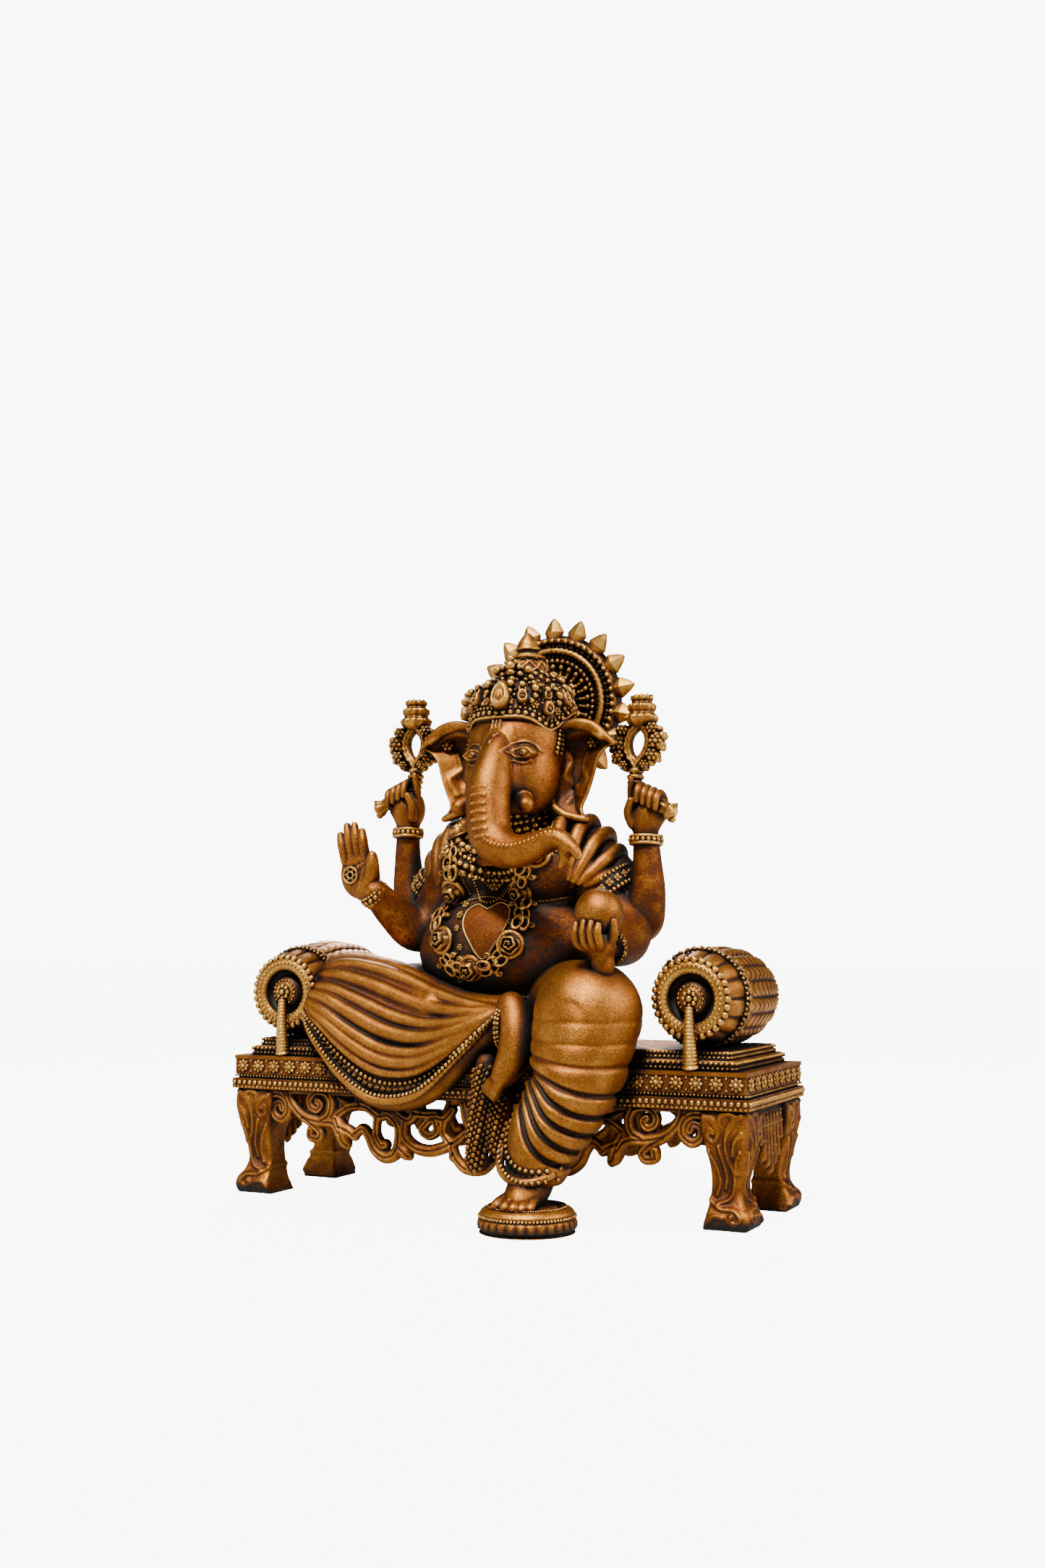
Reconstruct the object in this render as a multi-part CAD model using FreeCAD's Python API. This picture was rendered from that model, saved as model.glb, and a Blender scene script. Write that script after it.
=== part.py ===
"""Seated elephant-headed deity figurine on a settee, cast piece by piece.

Everything is in millimetres. The settee's centre is the drawing origin while the pieces are made;
export() then moves every piece by FRAME_SHIFT, so that the finished part's origin is the middle of
its footprint, at the surface that it stands on. X runs along the settee, -Y is the front, +Z is up.
"Left" and "right" are the figure's own: its right side is on -X.
"""
import FreeCAD, Part
import math
import os

V = FreeCAD.Vector

# ---------------------------------------------------------------- driving dimensions
BENCH_LENGTH = 120.0
BENCH_DEPTH = 37.0
BENCH_HEIGHT = 30.5
RAIL_HEIGHT = 23.2          # underside of the slab, top of legs and aprons
RAIL_PROUD = 0.3            # how far the beaded rail stands out of the slab
SLAB_STEPS = ((23.2, 25.4, 0.3), (25.4, 26.3, -0.7), (26.3, 29.7, -0.2), (29.7, 30.5, 0.0))
LEG_SIZE = 9.0
LEG_ANKLE = 5.6
TENON = 4.0
TENON_HEIGHT = 1.6
APRON_THICKNESS = 2.6
APRON_INSET = 0.5

MATTRESS_TOP = 34.4
MATTRESS_STEP = 32.6
MATTRESS_LENGTH = 114.0
MATTRESS_DEPTH = 33.0
MATTRESS_STEP_IN = 1.4

BOLSTER_X = 48.0
BOLSTER_RADIUS = 10.2
BOLSTER_RIGHT_RADIUS = 11.4  # the fuller bolster, on the figure's right
BOLSTER_END_RADIUS = 7.6
BOLSTER_HALF = 17.0
BOLSTER_DISH = 1.6          # depth of the dished ends
BOLSTER_DISH_RADIUS = 4.6
ROSETTE_RADIUS = 3.4

STOOL_X = 20.0
STOOL_Y = -33.0
STOOL_RADIUS = 9.6
STOOL_HEIGHT = 4.6

BODY_X = 2.2                # the figure's middle plane
CROWN_DOME_Y = 3.4          # the dome on the crown leans this far back
HALO_Y = 12.0
HALO_Z = 110.0
HALO_RADIUS = 15.2
HALO_PETAL = 3.8
HALO_THICKNESS = 3.0
HALO_PETALS = 18

FRAME_SHIFT = V(0, (STOOL_RADIUS - STOOL_Y - BENCH_DEPTH / 2 - RAIL_PROUD) / 2, 0)

pieces = {}


# ---------------------------------------------------------------- helpers
def box(x0, x1, y0, y1, z0, z1):
    return Part.makeBox(x1 - x0, y1 - y0, z1 - z0, V(x0, y0, z0))


def centred_box(cx, cy, wide, deep, z0, z1):
    return box(cx - wide / 2, cx + wide / 2, cy - deep / 2, cy + deep / 2, z0, z1)


def ball(centre, radius):
    return Part.makeSphere(radius, V(*centre))


def ellipsoid(centre, radii):
    grow = FreeCAD.Matrix()
    grow.scale(V(*radii))
    shape = Part.makeSphere(1.0).transformGeometry(grow)
    shape.translate(V(*centre))
    return shape


def capsule(start, end, r_start, r_end):
    """Two spheres and the cone frustum between them, as one solid."""
    a, b = V(*start), V(*end)
    along = b - a
    if abs(r_start - r_end) < 0.02:
        middle = Part.makeCylinder(r_start, along.Length, a, along)
    else:
        middle = Part.makeCone(r_start, r_end, along.Length, a, along)
    return middle.fuse([Part.makeSphere(r_start, a), Part.makeSphere(r_end, b)])


def chain(points, radii):
    """Capsules joined end to end."""
    links = [capsule(points[i], points[i + 1], radii[i], radii[i + 1]) for i in range(len(points) - 1)]
    return links[0].fuse(links[1:]) if len(links) > 1 else links[0]


def ring(centre, axis, radius, thickness):
    return Part.makeTorus(radius, thickness, V(*centre), V(*axis))


def lathe(profile, centre, axis=(0, 0, 1)):
    """Turns (radius, height) points about the vertical, then stands the result on axis at centre."""
    corners = [V(r, 0, h) for r, h in profile]
    solid = Part.Face(Part.makePolygon(corners + [corners[0]])).revolve(V(0, 0, 0), V(0, 0, 1), 360)
    solid.Placement = FreeCAD.Placement(V(*centre), FreeCAD.Rotation(V(0, 0, 1), V(*axis)))
    return solid


def outline_plate(points, y_front, y_back):
    """A plate whose outline in X and Z is a smooth closed curve through points."""
    curve = Part.BSplineCurve()
    curve.interpolate(Points=[V(x, y_front, z) for x, z in points], PeriodicFlag=True)
    return Part.Face(Part.Wire(curve.toShape())).extrude(V(0, y_back - y_front, 0))


def polygon_plate(points, y_front, y_back):
    corners = [V(x, y_front, z) for x, z in points]
    return Part.Face(Part.makePolygon(corners + [corners[0]])).extrude(V(0, y_back - y_front, 0))


def mirrored_x(shape, about=0.0):
    return shape.mirror(V(about, 0, 0), V(1, 0, 0))


def turned_about_z(shape, degrees, centre=(0, 0, 0)):
    copy = shape.copy()
    copy.rotate(V(*centre), V(0, 0, 1), degrees)
    return copy


def add(name, shape, clear_of=()):
    """Keeps a piece as one solid, less whatever pieces it is seated against."""
    taken = [pieces[n] for n in clear_of]
    if taken:
        shape = shape.cut(taken)
    pieces[name] = max(shape.Solids, key=lambda solid: solid.Volume)


# ---------------------------------------------------------------- settee
def bench_slab():
    slab = None
    for low, high, proud in SLAB_STEPS:
        layer = centred_box(0, 0, BENCH_LENGTH + 2 * proud, BENCH_DEPTH + 2 * proud, low, high)
        slab = layer if slab is None else slab.fuse(layer)
    return slab.removeSplitter()


def leg_profile(reach):
    """Outline of a cabriole leg in one plane: knee, ankle and a curled toe that reaches outward."""
    outer = [(0.6, 0), (0.4, 2.0), (0.0, 3.2), (0.3, 4.4), (1.6, 4.4), (2.6, 6.4), (1.7, 9.4), (0.5, 14.0)]
    outer += [(0.0, 18.5), (0.3, RAIL_HEIGHT)]
    inner = [(reach + 1.2, RAIL_HEIGHT), (reach + 0.4, 20.0), (reach - 1.0, 16.0), (LEG_ANKLE + 1.9, 10.0)]
    inner += [(LEG_ANKLE + 2.1, 5.0), (LEG_ANKLE + 2.8, 1.6), (LEG_ANKLE + 2.6, 0)]
    return outer + inner


def corner_leg():
    """The leg at -X, -Y: the solid that both of its side outlines share, with a tenon on top."""
    front = polygon_plate(leg_profile(LEG_SIZE), 0, LEG_SIZE + 2)
    side = turned_about_z(front, 90)
    side.translate(V(LEG_SIZE + 2, 0, 0))
    leg = front.common(side)
    middle = LEG_SIZE / 2
    tenon = centred_box(middle, middle, TENON, TENON, RAIL_HEIGHT, RAIL_HEIGHT + TENON_HEIGHT)
    leg = leg.fuse(tenon)
    leg.translate(V(-BENCH_LENGTH / 2, -BENCH_DEPTH / 2, 0))
    return leg


def apron_outline(half, depths):
    """Scalloped lower edge, mirrored about the middle. depths are (share of the half length, drop)."""
    right = [(share * half, RAIL_HEIGHT - drop) for share, drop in depths]
    left = [(-x, z) for x, z in reversed(right) if x > 0]
    return [(-half, RAIL_HEIGHT)] + left + right + [(half, RAIL_HEIGHT)]


def long_apron():
    """Openwork panel between the legs, deepest at its middle, pierced between its scrolls."""
    half = BENCH_LENGTH / 2 - LEG_SIZE - 2.2
    drops = ((0, 15.4), (0.07, 14.6), (0.16, 13.6), (0.28, 13.4), (0.36, 10.8), (0.46, 10.6), (0.56, 9.4))
    drops += ((0.66, 7.2), (0.76, 8.4), (0.86, 6.4), (1.0, 5.0))
    plate = polygon_plate(apron_outline(half, drops), 0, APRON_THICKNESS)
    holes = ((0.0, 13.0, 1.9), (0.17, 4.4, 1.5), (0.2, 10.2, 1.7), (0.36, 6.2, 1.7), (0.5, 5.0, 1.5))
    holes += ((0.66, 3.8, 1.3), (0.82, 3.6, 1.6))
    cutters = []
    for share, drop, radius in holes:
        for side in (-1, 1) if share else (1,):
            at = V(side * share * half, -1, RAIL_HEIGHT - drop)
            cutters.append(Part.makeCylinder(radius, APRON_THICKNESS + 2, at, V(0, 1, 0)))
    return plate.cut(cutters)


def short_apron():
    half = BENCH_DEPTH / 2 - LEG_SIZE - 2.2
    drops = ((0, 13.0), (0.3, 12.2), (0.55, 9.0), (0.8, 9.6), (1.0, 6.0))
    plate = polygon_plate(apron_outline(half, drops), 0, APRON_THICKNESS)
    return plate.cut(Part.makeCylinder(1.4, APRON_THICKNESS + 2, V(0, -1, RAIL_HEIGHT - 5), V(0, 1, 0)))


def make_settee():
    leg = corner_leg()
    legs = {"leg_front_right": leg, "leg_front_left": mirrored_x(leg)}
    legs["leg_back_left"] = turned_about_z(leg, 180)
    legs["leg_back_right"] = mirrored_x(legs["leg_back_left"])
    for name, shape in legs.items():
        add(name, shape)
    add("bench_slab", bench_slab(), clear_of=list(legs))

    front = long_apron()
    front.translate(V(0, -BENCH_DEPTH / 2 + APRON_INSET, 0))
    side = turned_about_z(short_apron(), 90)
    side.translate(V(BENCH_LENGTH / 2 - APRON_INSET, 0, 0))
    add("apron_front", front, clear_of=list(legs))
    add("apron_back", turned_about_z(front, 180), clear_of=list(legs))
    add("apron_left", side, clear_of=list(legs))
    add("apron_right", turned_about_z(side, 180), clear_of=list(legs))

    lower = centred_box(0, 0, MATTRESS_LENGTH, MATTRESS_DEPTH, BENCH_HEIGHT, MATTRESS_STEP)
    inset = 2 * MATTRESS_STEP_IN
    upper = centred_box(0, 0, MATTRESS_LENGTH - inset, MATTRESS_DEPTH - inset, MATTRESS_STEP, MATTRESS_TOP)
    add("seat_mattress", lower.fuse(upper).removeSplitter())


def bolster(top):
    """A barrel cushion of radius top lying along Y, with a dish in each end."""
    half, end = BOLSTER_HALF, BOLSTER_END_RADIUS
    shares = (0.0, 0.3, 0.55, 0.75, 0.9, 1.0)
    bulge = [(top - (top - end) * s ** 2.6, half * s) for s in shares]
    rim = BOLSTER_DISH_RADIUS
    upper = bulge + [(rim, half), (rim, half - BOLSTER_DISH), (0, half - BOLSTER_DISH)]
    lower = [(r, -h) for r, h in upper]
    return lathe(upper + lower[::-1][:-1], (0, 0, 0), (0, 1, 0))


def tassel():
    """Rosette on the front of a bolster, with the tassel that hangs from it to the mattress."""
    front = -BOLSTER_HALF
    rosette = Part.makeCylinder(ROSETTE_RADIUS, BOLSTER_DISH, V(0, front, 0), V(0, 1, 0))
    dome = Part.makeCylinder(ROSETTE_RADIUS * 0.8, 0.8, V(0, front - 0.8, 0), V(0, 1, 0))
    foot = -BOLSTER_RADIUS - MATTRESS_TOP + BENCH_HEIGHT
    skirt = Part.makeCone(0.8, 1.7, -foot - 0.2, V(0, front - 0.9, 0), V(0, 0, -1))
    return rosette.fuse([dome, skirt])


def make_bolsters():
    height = MATTRESS_TOP + BOLSTER_RADIUS
    for name, x, top in (("left", BOLSTER_X, BOLSTER_RADIUS), ("right", -BOLSTER_X, BOLSTER_RIGHT_RADIUS)):
        cushion = bolster(top)
        cushion.translate(V(x, 0, height))
        hanging = tassel()
        hanging.translate(V(x, 0, height))
        add("bolster_" + name, cushion, clear_of=["seat_mattress"])
        add("bolster_tassel_" + name, hanging, clear_of=["bolster_" + name, "seat_mattress", "bench_slab"])


def make_footstool():
    r, h = STOOL_RADIUS, STOOL_HEIGHT
    profile = [(0, 0), (r - 0.9, 0), (r - 0.7, 0.7), (r, 1.5), (r, 3.2), (r - 0.8, 3.9), (r - 2.2, h), (0, h)]
    add("footstool", lathe(profile, (STOOL_X, STOOL_Y, 0)))


# ---------------------------------------------------------------- figure
def trunk_path():
    """Centre line and radius of the trunk, brow to tip."""
    return (((2.6, -9.5, 96), 5.6), ((3.0, -14.0, 90), 5.0), ((3.2, -16.5, 84), 4.6), ((3.8, -18.0, 78), 4.3),
            ((6.6, -19.0, 74.0), 3.6), ((11.5, -20.5, 73.2), 2.9), ((16.5, -22.0, 75.0), 2.4),
            ((20.5, -22.8, 75.6), 1.9), ((23.2, -23.0, 72.8), 1.7))


def make_torso():
    hips = ellipsoid((BODY_X, 1.5, 42), (18, 13.5, 9.5))
    belly = ellipsoid((BODY_X, -0.5, 54), (20, 15.0, 15.5))
    chest = ellipsoid((BODY_X, 2.0, 69.5), (17.5, 11.0, 12.5))
    neck = Part.makeCylinder(7.0, 12, V(BODY_X, 1.5, 74))
    add("torso", hips.fuse([belly, chest, neck]), clear_of=["seat_mattress"])


def make_head():
    skull = ellipsoid((BODY_X + 0.4, -2.0, 96), (11.4, 11.6, 12.6))
    cheeks = ellipsoid((BODY_X + 0.4, -3.5, 88.5), (9.6, 9.5, 7.5))
    add("head", skull.fuse(cheeks), clear_of=["torso"])
    path = trunk_path()
    trunk = chain([p for p, r in path], [r for p, r in path])
    add("trunk", trunk, clear_of=["head", "torso"])
    for name, side in (("left", 1), ("right", -1)):
        root = (BODY_X + side * 6.4, -10.0, 86.5)
        tip = (BODY_X + side * 8.2, -13.2, 84.6)
        add("tusk_" + name, capsule(root, tip, 1.9, 1.6), clear_of=["head", "trunk"])
        outline = [(9.0, 103.0), (14.0, 104.2), (18.5, 103.4), (23.2, 99.8), (19.4, 98.0), (17.6, 93.0)]
        outline += [(15.6, 88.0), (14.6, 83.6), (11.0, 83.4), (8.4, 88.0), (8.0, 96.0)]
        shape = outline_plate([(BODY_X + side * x, z) for x, z in outline], -2.4, 1.8)
        add("ear_" + name, shape, clear_of=["head", "torso"])


def make_crown():
    at = (BODY_X + 0.4, 0.6, 0)
    band = [(0, 103.0), (11.6, 103.0), (12.4, 104.6), (12.6, 107.5), (12.0, 111.0), (10.0, 114.4),
            (6.4, 116.2), (0, 116.2)]
    add("crown_band", lathe(band, at), clear_of=["head", "ear_left", "ear_right"])
    behind = (BODY_X + 0.4, CROWN_DOME_Y, 0)
    dome = [(0, 114.6), (5.2, 114.6), (5.7, 116.4), (5.2, 118.0), (4.0, 119.5), (0, 119.5)]
    add("crown_dome", lathe(dome, behind), clear_of=["crown_band"])
    tip = [(0, 119.5), (2.8, 119.5), (3.0, 120.4), (2.0, 121.2), (1.8, 122.4), (0.35, 125.2), (0, 125.2)]
    add("crown_finial", lathe(tip, behind), clear_of=["crown_dome"])


def make_halo():
    """Disc with a petalled rim, standing upright behind the head on one pin."""
    x = BODY_X + 2.4
    step = 2 * math.pi / HALO_PETALS
    rim = []
    for i in range(HALO_PETALS):
        for share, reach in ((0.0, HALO_PETAL), (0.25, HALO_PETAL * 0.62), (0.42, 0.2), (0.58, 0.2),
                             (0.75, HALO_PETAL * 0.62)):
            turn = step * (i + share)
            radius = HALO_RADIUS + reach
            rim.append((x + radius * math.sin(turn), HALO_Z + radius * math.cos(turn)))
    wheel = polygon_plate(rim, HALO_Y, HALO_Y + HALO_THICKNESS)
    pin = Part.makeCylinder(1.6, 5.0, V(BODY_X + 1.0, HALO_Y - 3.5, 107), V(0, 1, 0))
    add("halo_pin", pin)
    add("halo_wheel", wheel, clear_of=["halo_pin", "crown_band"])
    for name in ("crown_band", "head"):
        pieces[name] = pieces[name].cut(pin)


ARMS = {
    # name: (points, radii, hand centre)
    "upper_right": (((-12.5, 3.5, 74), (-22.5, 3.5, 63.5), (-27.0, 2.0, 79.0)), (5.6, 4.4, 2.8)),
    "upper_left": (((17.5, 3.5, 74), (28.4, 3.0, 61.6), (31.5, 2.0, 75.8)), (5.6, 4.8, 2.8)),
    "lower_right": (((-13.0, -1.5, 71), (-19.0, -3.0, 63.0), (-25.6, -13.0, 66.6)), (5.4, 5.4, 3.0)),
    "lower_left": (((18.5, 0.0, 69.5), (27.4, 0.0, 60.0), (32.0, -20.6, 55.4)), (5.2, 5.4, 2.7)),
}


def make_legs():
    knee = (28.3, -22.0, 41.3)
    thigh = chain([(10, 1, 43.5), knee], [9.0, 10.4])
    shin = chain([knee, (26.6, -26.6, 28.0), (22.4, -29.0, 18.6), (19.8, -30.2, 11.0)], [10.4, 9.0, 7.5, 5.8])
    floor_cut = centred_box(STOOL_X, STOOL_Y, 60, 60, 0, 8.6)
    left = thigh.fuse(shin).cut(floor_cut)
    seat = ["seat_mattress", "bench_slab", "apron_front", "torso"]
    add("dhoti_left", left, clear_of=seat)

    thigh = chain([(-6, 1, 43.5), (-34.2, -11.5, 42.6)], [8.8, 8.6])
    shin = chain([(-34.2, -11.5, 42.6), (-14, -18.5, 41.0), (3.5, -20.4, 40.6)], [8.6, 7.0, 3.6])
    edge = [(8.0, 42.5), (-6.0, 47.0), (-22.0, 48.5), (-38.0, 48.5), (-43.0, 43.5), (-40.5, 34.5)]
    edge += [(-33.5, 26.0), (-22.0, 21.4), (-12.0, 23.5), (-3.0, 31.0)]
    drape = outline_plate(edge, -25.0, -18.9)
    add("dhoti_right", thigh.fuse([shin, drape]), clear_of=seat + ["dhoti_left"])

    foot = chain([(19.6, -31.0, 8.6), (20.0, -37.0, 6.4)], [3.9, 2.7])
    ankle = Part.makeCylinder(3.9, 3.0, V(19.6, -31.0, 6.4))
    add("foot_left", foot.fuse(ankle), clear_of=["footstool", "dhoti_left"])
    foot = chain([(8.4, -21.6, 40.0), (11.4, -23.6, 32.5), (8.6, -24.6, 27.6)], [3.5, 3.0, 2.3])
    add("foot_right", foot, clear_of=["dhoti_right", "dhoti_left", "apron_front"] + seat[:2] + ["torso"])
    anklet = ring((7.0, -21.6, 40.0), (1, 0, -0.4), 3.6, 0.6)
    add("anklet_right", anklet, clear_of=["foot_right", "dhoti_right", "torso", "dhoti_left"])
    sash = box(-1.0, 9.6, -22.4, -18.7, 8.8, 26.0)
    add("sash_tassel", sash, clear_of=["dhoti_left", "dhoti_right", "foot_right", "bench_slab",
                                       "apron_front"])


def make_arms():
    body = ["torso", "dhoti_left", "dhoti_right", "head"]
    for name, (points, radii) in ARMS.items():
        done = [n for n in pieces if n.startswith("arm_")]
        add("arm_" + name, chain(points, radii), clear_of=body + done)
        shoulder, elbow = V(*points[0]), V(*points[1])
        wrist = V(*points[2])
        along = (wrist - elbow).normalize()
        at = wrist + along * 0.9
        bangle = ring(tuple(at), tuple(along), radii[2] + 0.15, 0.8)
        add("bangle_" + name, bangle, clear_of=["arm_" + name])

    grip = capsule((-27.2, 2.0, 82.2), (-27.8, 2.2, 88.4), 2.9, 3.8)
    add("hand_upper_right", grip, clear_of=["arm_upper_right", "bangle_upper_right"])
    grip = capsule((31.6, 2.0, 79.0), (32.2, 2.2, 85.2), 2.9, 3.8)
    add("hand_upper_left", grip, clear_of=["arm_upper_left", "bangle_upper_left"])
    palm = ellipsoid((-29.8, -14.6, 71.0), (4.8, 1.9, 5.6))
    fingers = ellipsoid((-32.0, -14.9, 77.6), (3.7, 1.5, 5.6))
    heel = capsule((-26.4, -14.2, 66.4), (-28.6, -14.6, 69.6), 2.3, 2.0)
    add("hand_blessing", palm.fuse([fingers, heel]), clear_of=["arm_lower_right", "bangle_lower_right"])
    cup = ellipsoid((32.6, -26.8, 55.8), (3.9, 3.9, 3.9)).fuse(capsule((32.8, -25.8, 54.0), (33.0,
                                                            -25.4, 51.4), 2.3, 2.1))
    add("sweet_ball", ball((32.2, -25.6, 61.4), 4.9))
    add("hand_sweet", cup, clear_of=["arm_lower_left", "bangle_lower_left", "sweet_ball", "dhoti_left"])


def emblem(x, y, z0, z1, wide):
    """Flat looped emblem on a short stem: goad or noose."""
    mid = (z0 + z1) / 2 - 1.2
    loop = Part.makeTorus(wide * 0.33, 1.75, V(x, y, mid), V(0, 1, 0))
    stem = Part.makeCylinder(1.5, mid - wide * 0.33 - z0, V(x, y, z0))
    head = Part.makeCone(2.9, 1.6, z1 - mid - wide * 0.33, V(x, y, mid + wide * 0.33))
    return loop.fuse([stem, head])


def make_emblems():
    add("goad_right", emblem(-25.4, 2.2, 90.4, 111.6, 12.0), clear_of=["hand_upper_right", "ear_right"])
    add("noose_left", emblem(30.2, 2.2, 87.4, 109.2, 12.0), clear_of=["hand_upper_left", "ear_left"])
    bars = (("goad_handle", "hand_upper_right", -1, -28.6, 89.2), ("noose_handle", "hand_upper_left",
                                                            1, 33.0, 86.0))
    for name, hand, side, x, z in bars:
        bar = Part.makeCone(1.1, 1.8, 8.0, V(x, 1.2, z), V(side, -0.15, -0.46))
        add(name, bar, clear_of=[hand])


def make_jewellery():
    """Garland, collar, pendant, armlets and shoulder cloth, each seated on the body."""
    seated = ["torso", "head", "trunk", "arm_upper_left", "arm_upper_right", "arm_lower_left",
              "arm_lower_right"]
    route = ((-10.2, -2.6, 80.0), (-9.2, -8.8, 76.0), (-7.8, -11.6, 69.5), (-8.6, -11.4, 64.5), (-10.8,
                                                            -13.2, 59.0))
    route += ((-8.6, -15.2, 54.0), (-3.6, -16.0, 50.4), (2.4, -16.2, 50.4), (7.6, -15.4, 54.8), (9.0,
                                                            -14.2, 59.6))
    route += ((8.4, -11.4, 65.5), (10.6, -11.4, 71.5), (13.4, -7.8, 76.5), (14.0, -2.4, 80.0))
    add("garland", chain(route, [1.7] * len(route)), clear_of=seated)
    collar = ring((BODY_X, 0.2, 79.6), (0, -0.42, 1), 9.6, 2.2)
    add("collar", collar, clear_of=seated + ["ear_left", "ear_right", "garland"])
    outline = [(0, 62.2), (3.4, 63.4), (5.0, 60.6), (3.0, 56.0), (0, 52.2), (-3.0, 56.0), (-5.0, 60.6),
               (-3.4, 63.4)]
    heart = outline_plate([(BODY_X - 0.6 + x, z) for x, z in outline], -16.9, -12.0)
    add("heart_pendant", heart, clear_of=seated + ["garland"])
    for name, side in (("left", 1), ("right", -1)):
        points, radii = ARMS["upper_" + name]
        a, b = V(*points[0]), V(*points[1])
        cloth = capsule(tuple(a + V(-side * 1.0, -0.6, 1.4)), tuple(a + (b - a) * 0.42), 6.9, 6.3)
        add("shawl_" + name, cloth, clear_of=seated + ["garland", "collar", "ear_" + name])
        along = (b - a).normalize()
        at = a + (b - a) * 0.56
        armlet = ring(tuple(at), tuple(along), 5.8, 1.0)
        add("armlet_" + name, armlet, clear_of=seated + ["shawl_" + name])


def export():
    os.makedirs("parts", exist_ok=True)
    for name, shape in pieces.items():
        placed = shape.copy()
        placed.translate(FRAME_SHIFT)
        placed.exportStep("parts/" + name + ".step")
        print(name, len(placed.Solids), round(placed.Volume, 1), placed.isValid())


make_settee()
make_bolsters()
make_footstool()
make_torso()
make_head()
make_crown()
make_halo()
make_legs()
make_arms()
make_emblems()
make_jewellery()
export()
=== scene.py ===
"""Looks for the seated elephant-headed deity figurine: sculpted surfaces, ornament and antique gold paint.

Lengths are in millimetres until a mesh is made. They are measured from the settee's middle at floor
level, with +X to the viewer's right, -Y to the front and +Z up; place() turns them into the frame's metres.
"""
import math

import bpy
import numpy as np
import openvdb
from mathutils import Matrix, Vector


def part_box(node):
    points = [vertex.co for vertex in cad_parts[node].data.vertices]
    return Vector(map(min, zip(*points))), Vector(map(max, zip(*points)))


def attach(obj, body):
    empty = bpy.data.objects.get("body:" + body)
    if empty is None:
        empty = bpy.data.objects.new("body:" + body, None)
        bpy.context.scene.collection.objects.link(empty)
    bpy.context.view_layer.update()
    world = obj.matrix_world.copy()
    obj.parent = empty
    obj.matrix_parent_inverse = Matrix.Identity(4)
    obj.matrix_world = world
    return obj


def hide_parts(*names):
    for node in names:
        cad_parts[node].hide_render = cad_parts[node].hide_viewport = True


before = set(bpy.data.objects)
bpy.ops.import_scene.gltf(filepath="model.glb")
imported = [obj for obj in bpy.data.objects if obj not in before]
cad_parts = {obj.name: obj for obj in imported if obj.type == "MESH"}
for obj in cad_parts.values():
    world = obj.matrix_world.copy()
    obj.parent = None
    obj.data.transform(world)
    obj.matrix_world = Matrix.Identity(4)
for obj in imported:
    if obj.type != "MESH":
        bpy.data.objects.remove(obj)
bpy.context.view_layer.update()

MM = 0.001
slab_low, slab_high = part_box("bench_slab")
SETTEE = np.array([(slab_low.x + slab_high.x) / 2, (slab_low.y + slab_high.y) / 2, 0.0])
COARSE = 1.0     # how much wider the clay's cells are while trying things
FAR = 9.0                               # distance value of empty clay
MIDDLE = 2.2                            # the figure's middle plane


def place(points):
    """Millimetres from the settee's middle to metres in the frame."""
    return np.asarray(points, float) * MM + SETTEE


def node_box(name):
    """Lowest and highest corner of a CAD node, in millimetres from the settee's middle."""
    low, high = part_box(name)
    return (np.array(low) - SETTEE) / MM, (np.array(high) - SETTEE) / MM


# ================================================================ curves and small maths
def unit(v):
    v = np.asarray(v, float)
    return v / np.linalg.norm(v)


def spline(points, per_span=8, closed=False):
    """Catmull-Rom curve through rows of numbers: places, and a radius where there is a fourth column."""
    p = np.asarray(points, float)
    n = len(p)
    spans = n if closed else n - 1
    if closed:
        before, after = np.roll(p, 1, 0), np.roll(p, -1, 0)
        beyond = np.roll(p, -2, 0)
    else:
        before = np.vstack([2 * p[0] - p[1], p[:-1]])
        after = np.vstack([p[1:], 2 * p[-1] - p[-2]])
        beyond = np.vstack([p[2:], 2 * p[-1] - p[-2], 2 * p[-1] - p[-2]])
    out = []
    for i in range(spans):
        for t in np.arange(per_span) / per_span:
            a, b, c, d = before[i], p[i], after[i], beyond[i]
            out.append(0.5 * (2 * b + (c - a) * t + (2 * a - 5 * b + 4 * c - d) * t ** 2
                              + (3 * b - a - 3 * c + d) * t ** 3))
    if not closed:
        out.append(p[-1])
    return np.array(out)


def evenly(path, spacing):
    """Points along a path, about spacing apart, and the direction of the path at each."""
    path = np.asarray(path, float)
    step = np.linalg.norm(np.diff(path[:, :3], axis=0), axis=1)
    along = np.concatenate([[0], np.cumsum(step)])
    count = max(2, int(round(along[-1] / spacing)) + 1)
    at = np.linspace(0, along[-1], count)
    points = np.stack([np.interp(at, along, path[:, k]) for k in range(path.shape[1])], 1)
    ahead = np.gradient(points[:, :3], axis=0)
    return points, ahead / np.linalg.norm(ahead, axis=1)[:, None]


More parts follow.
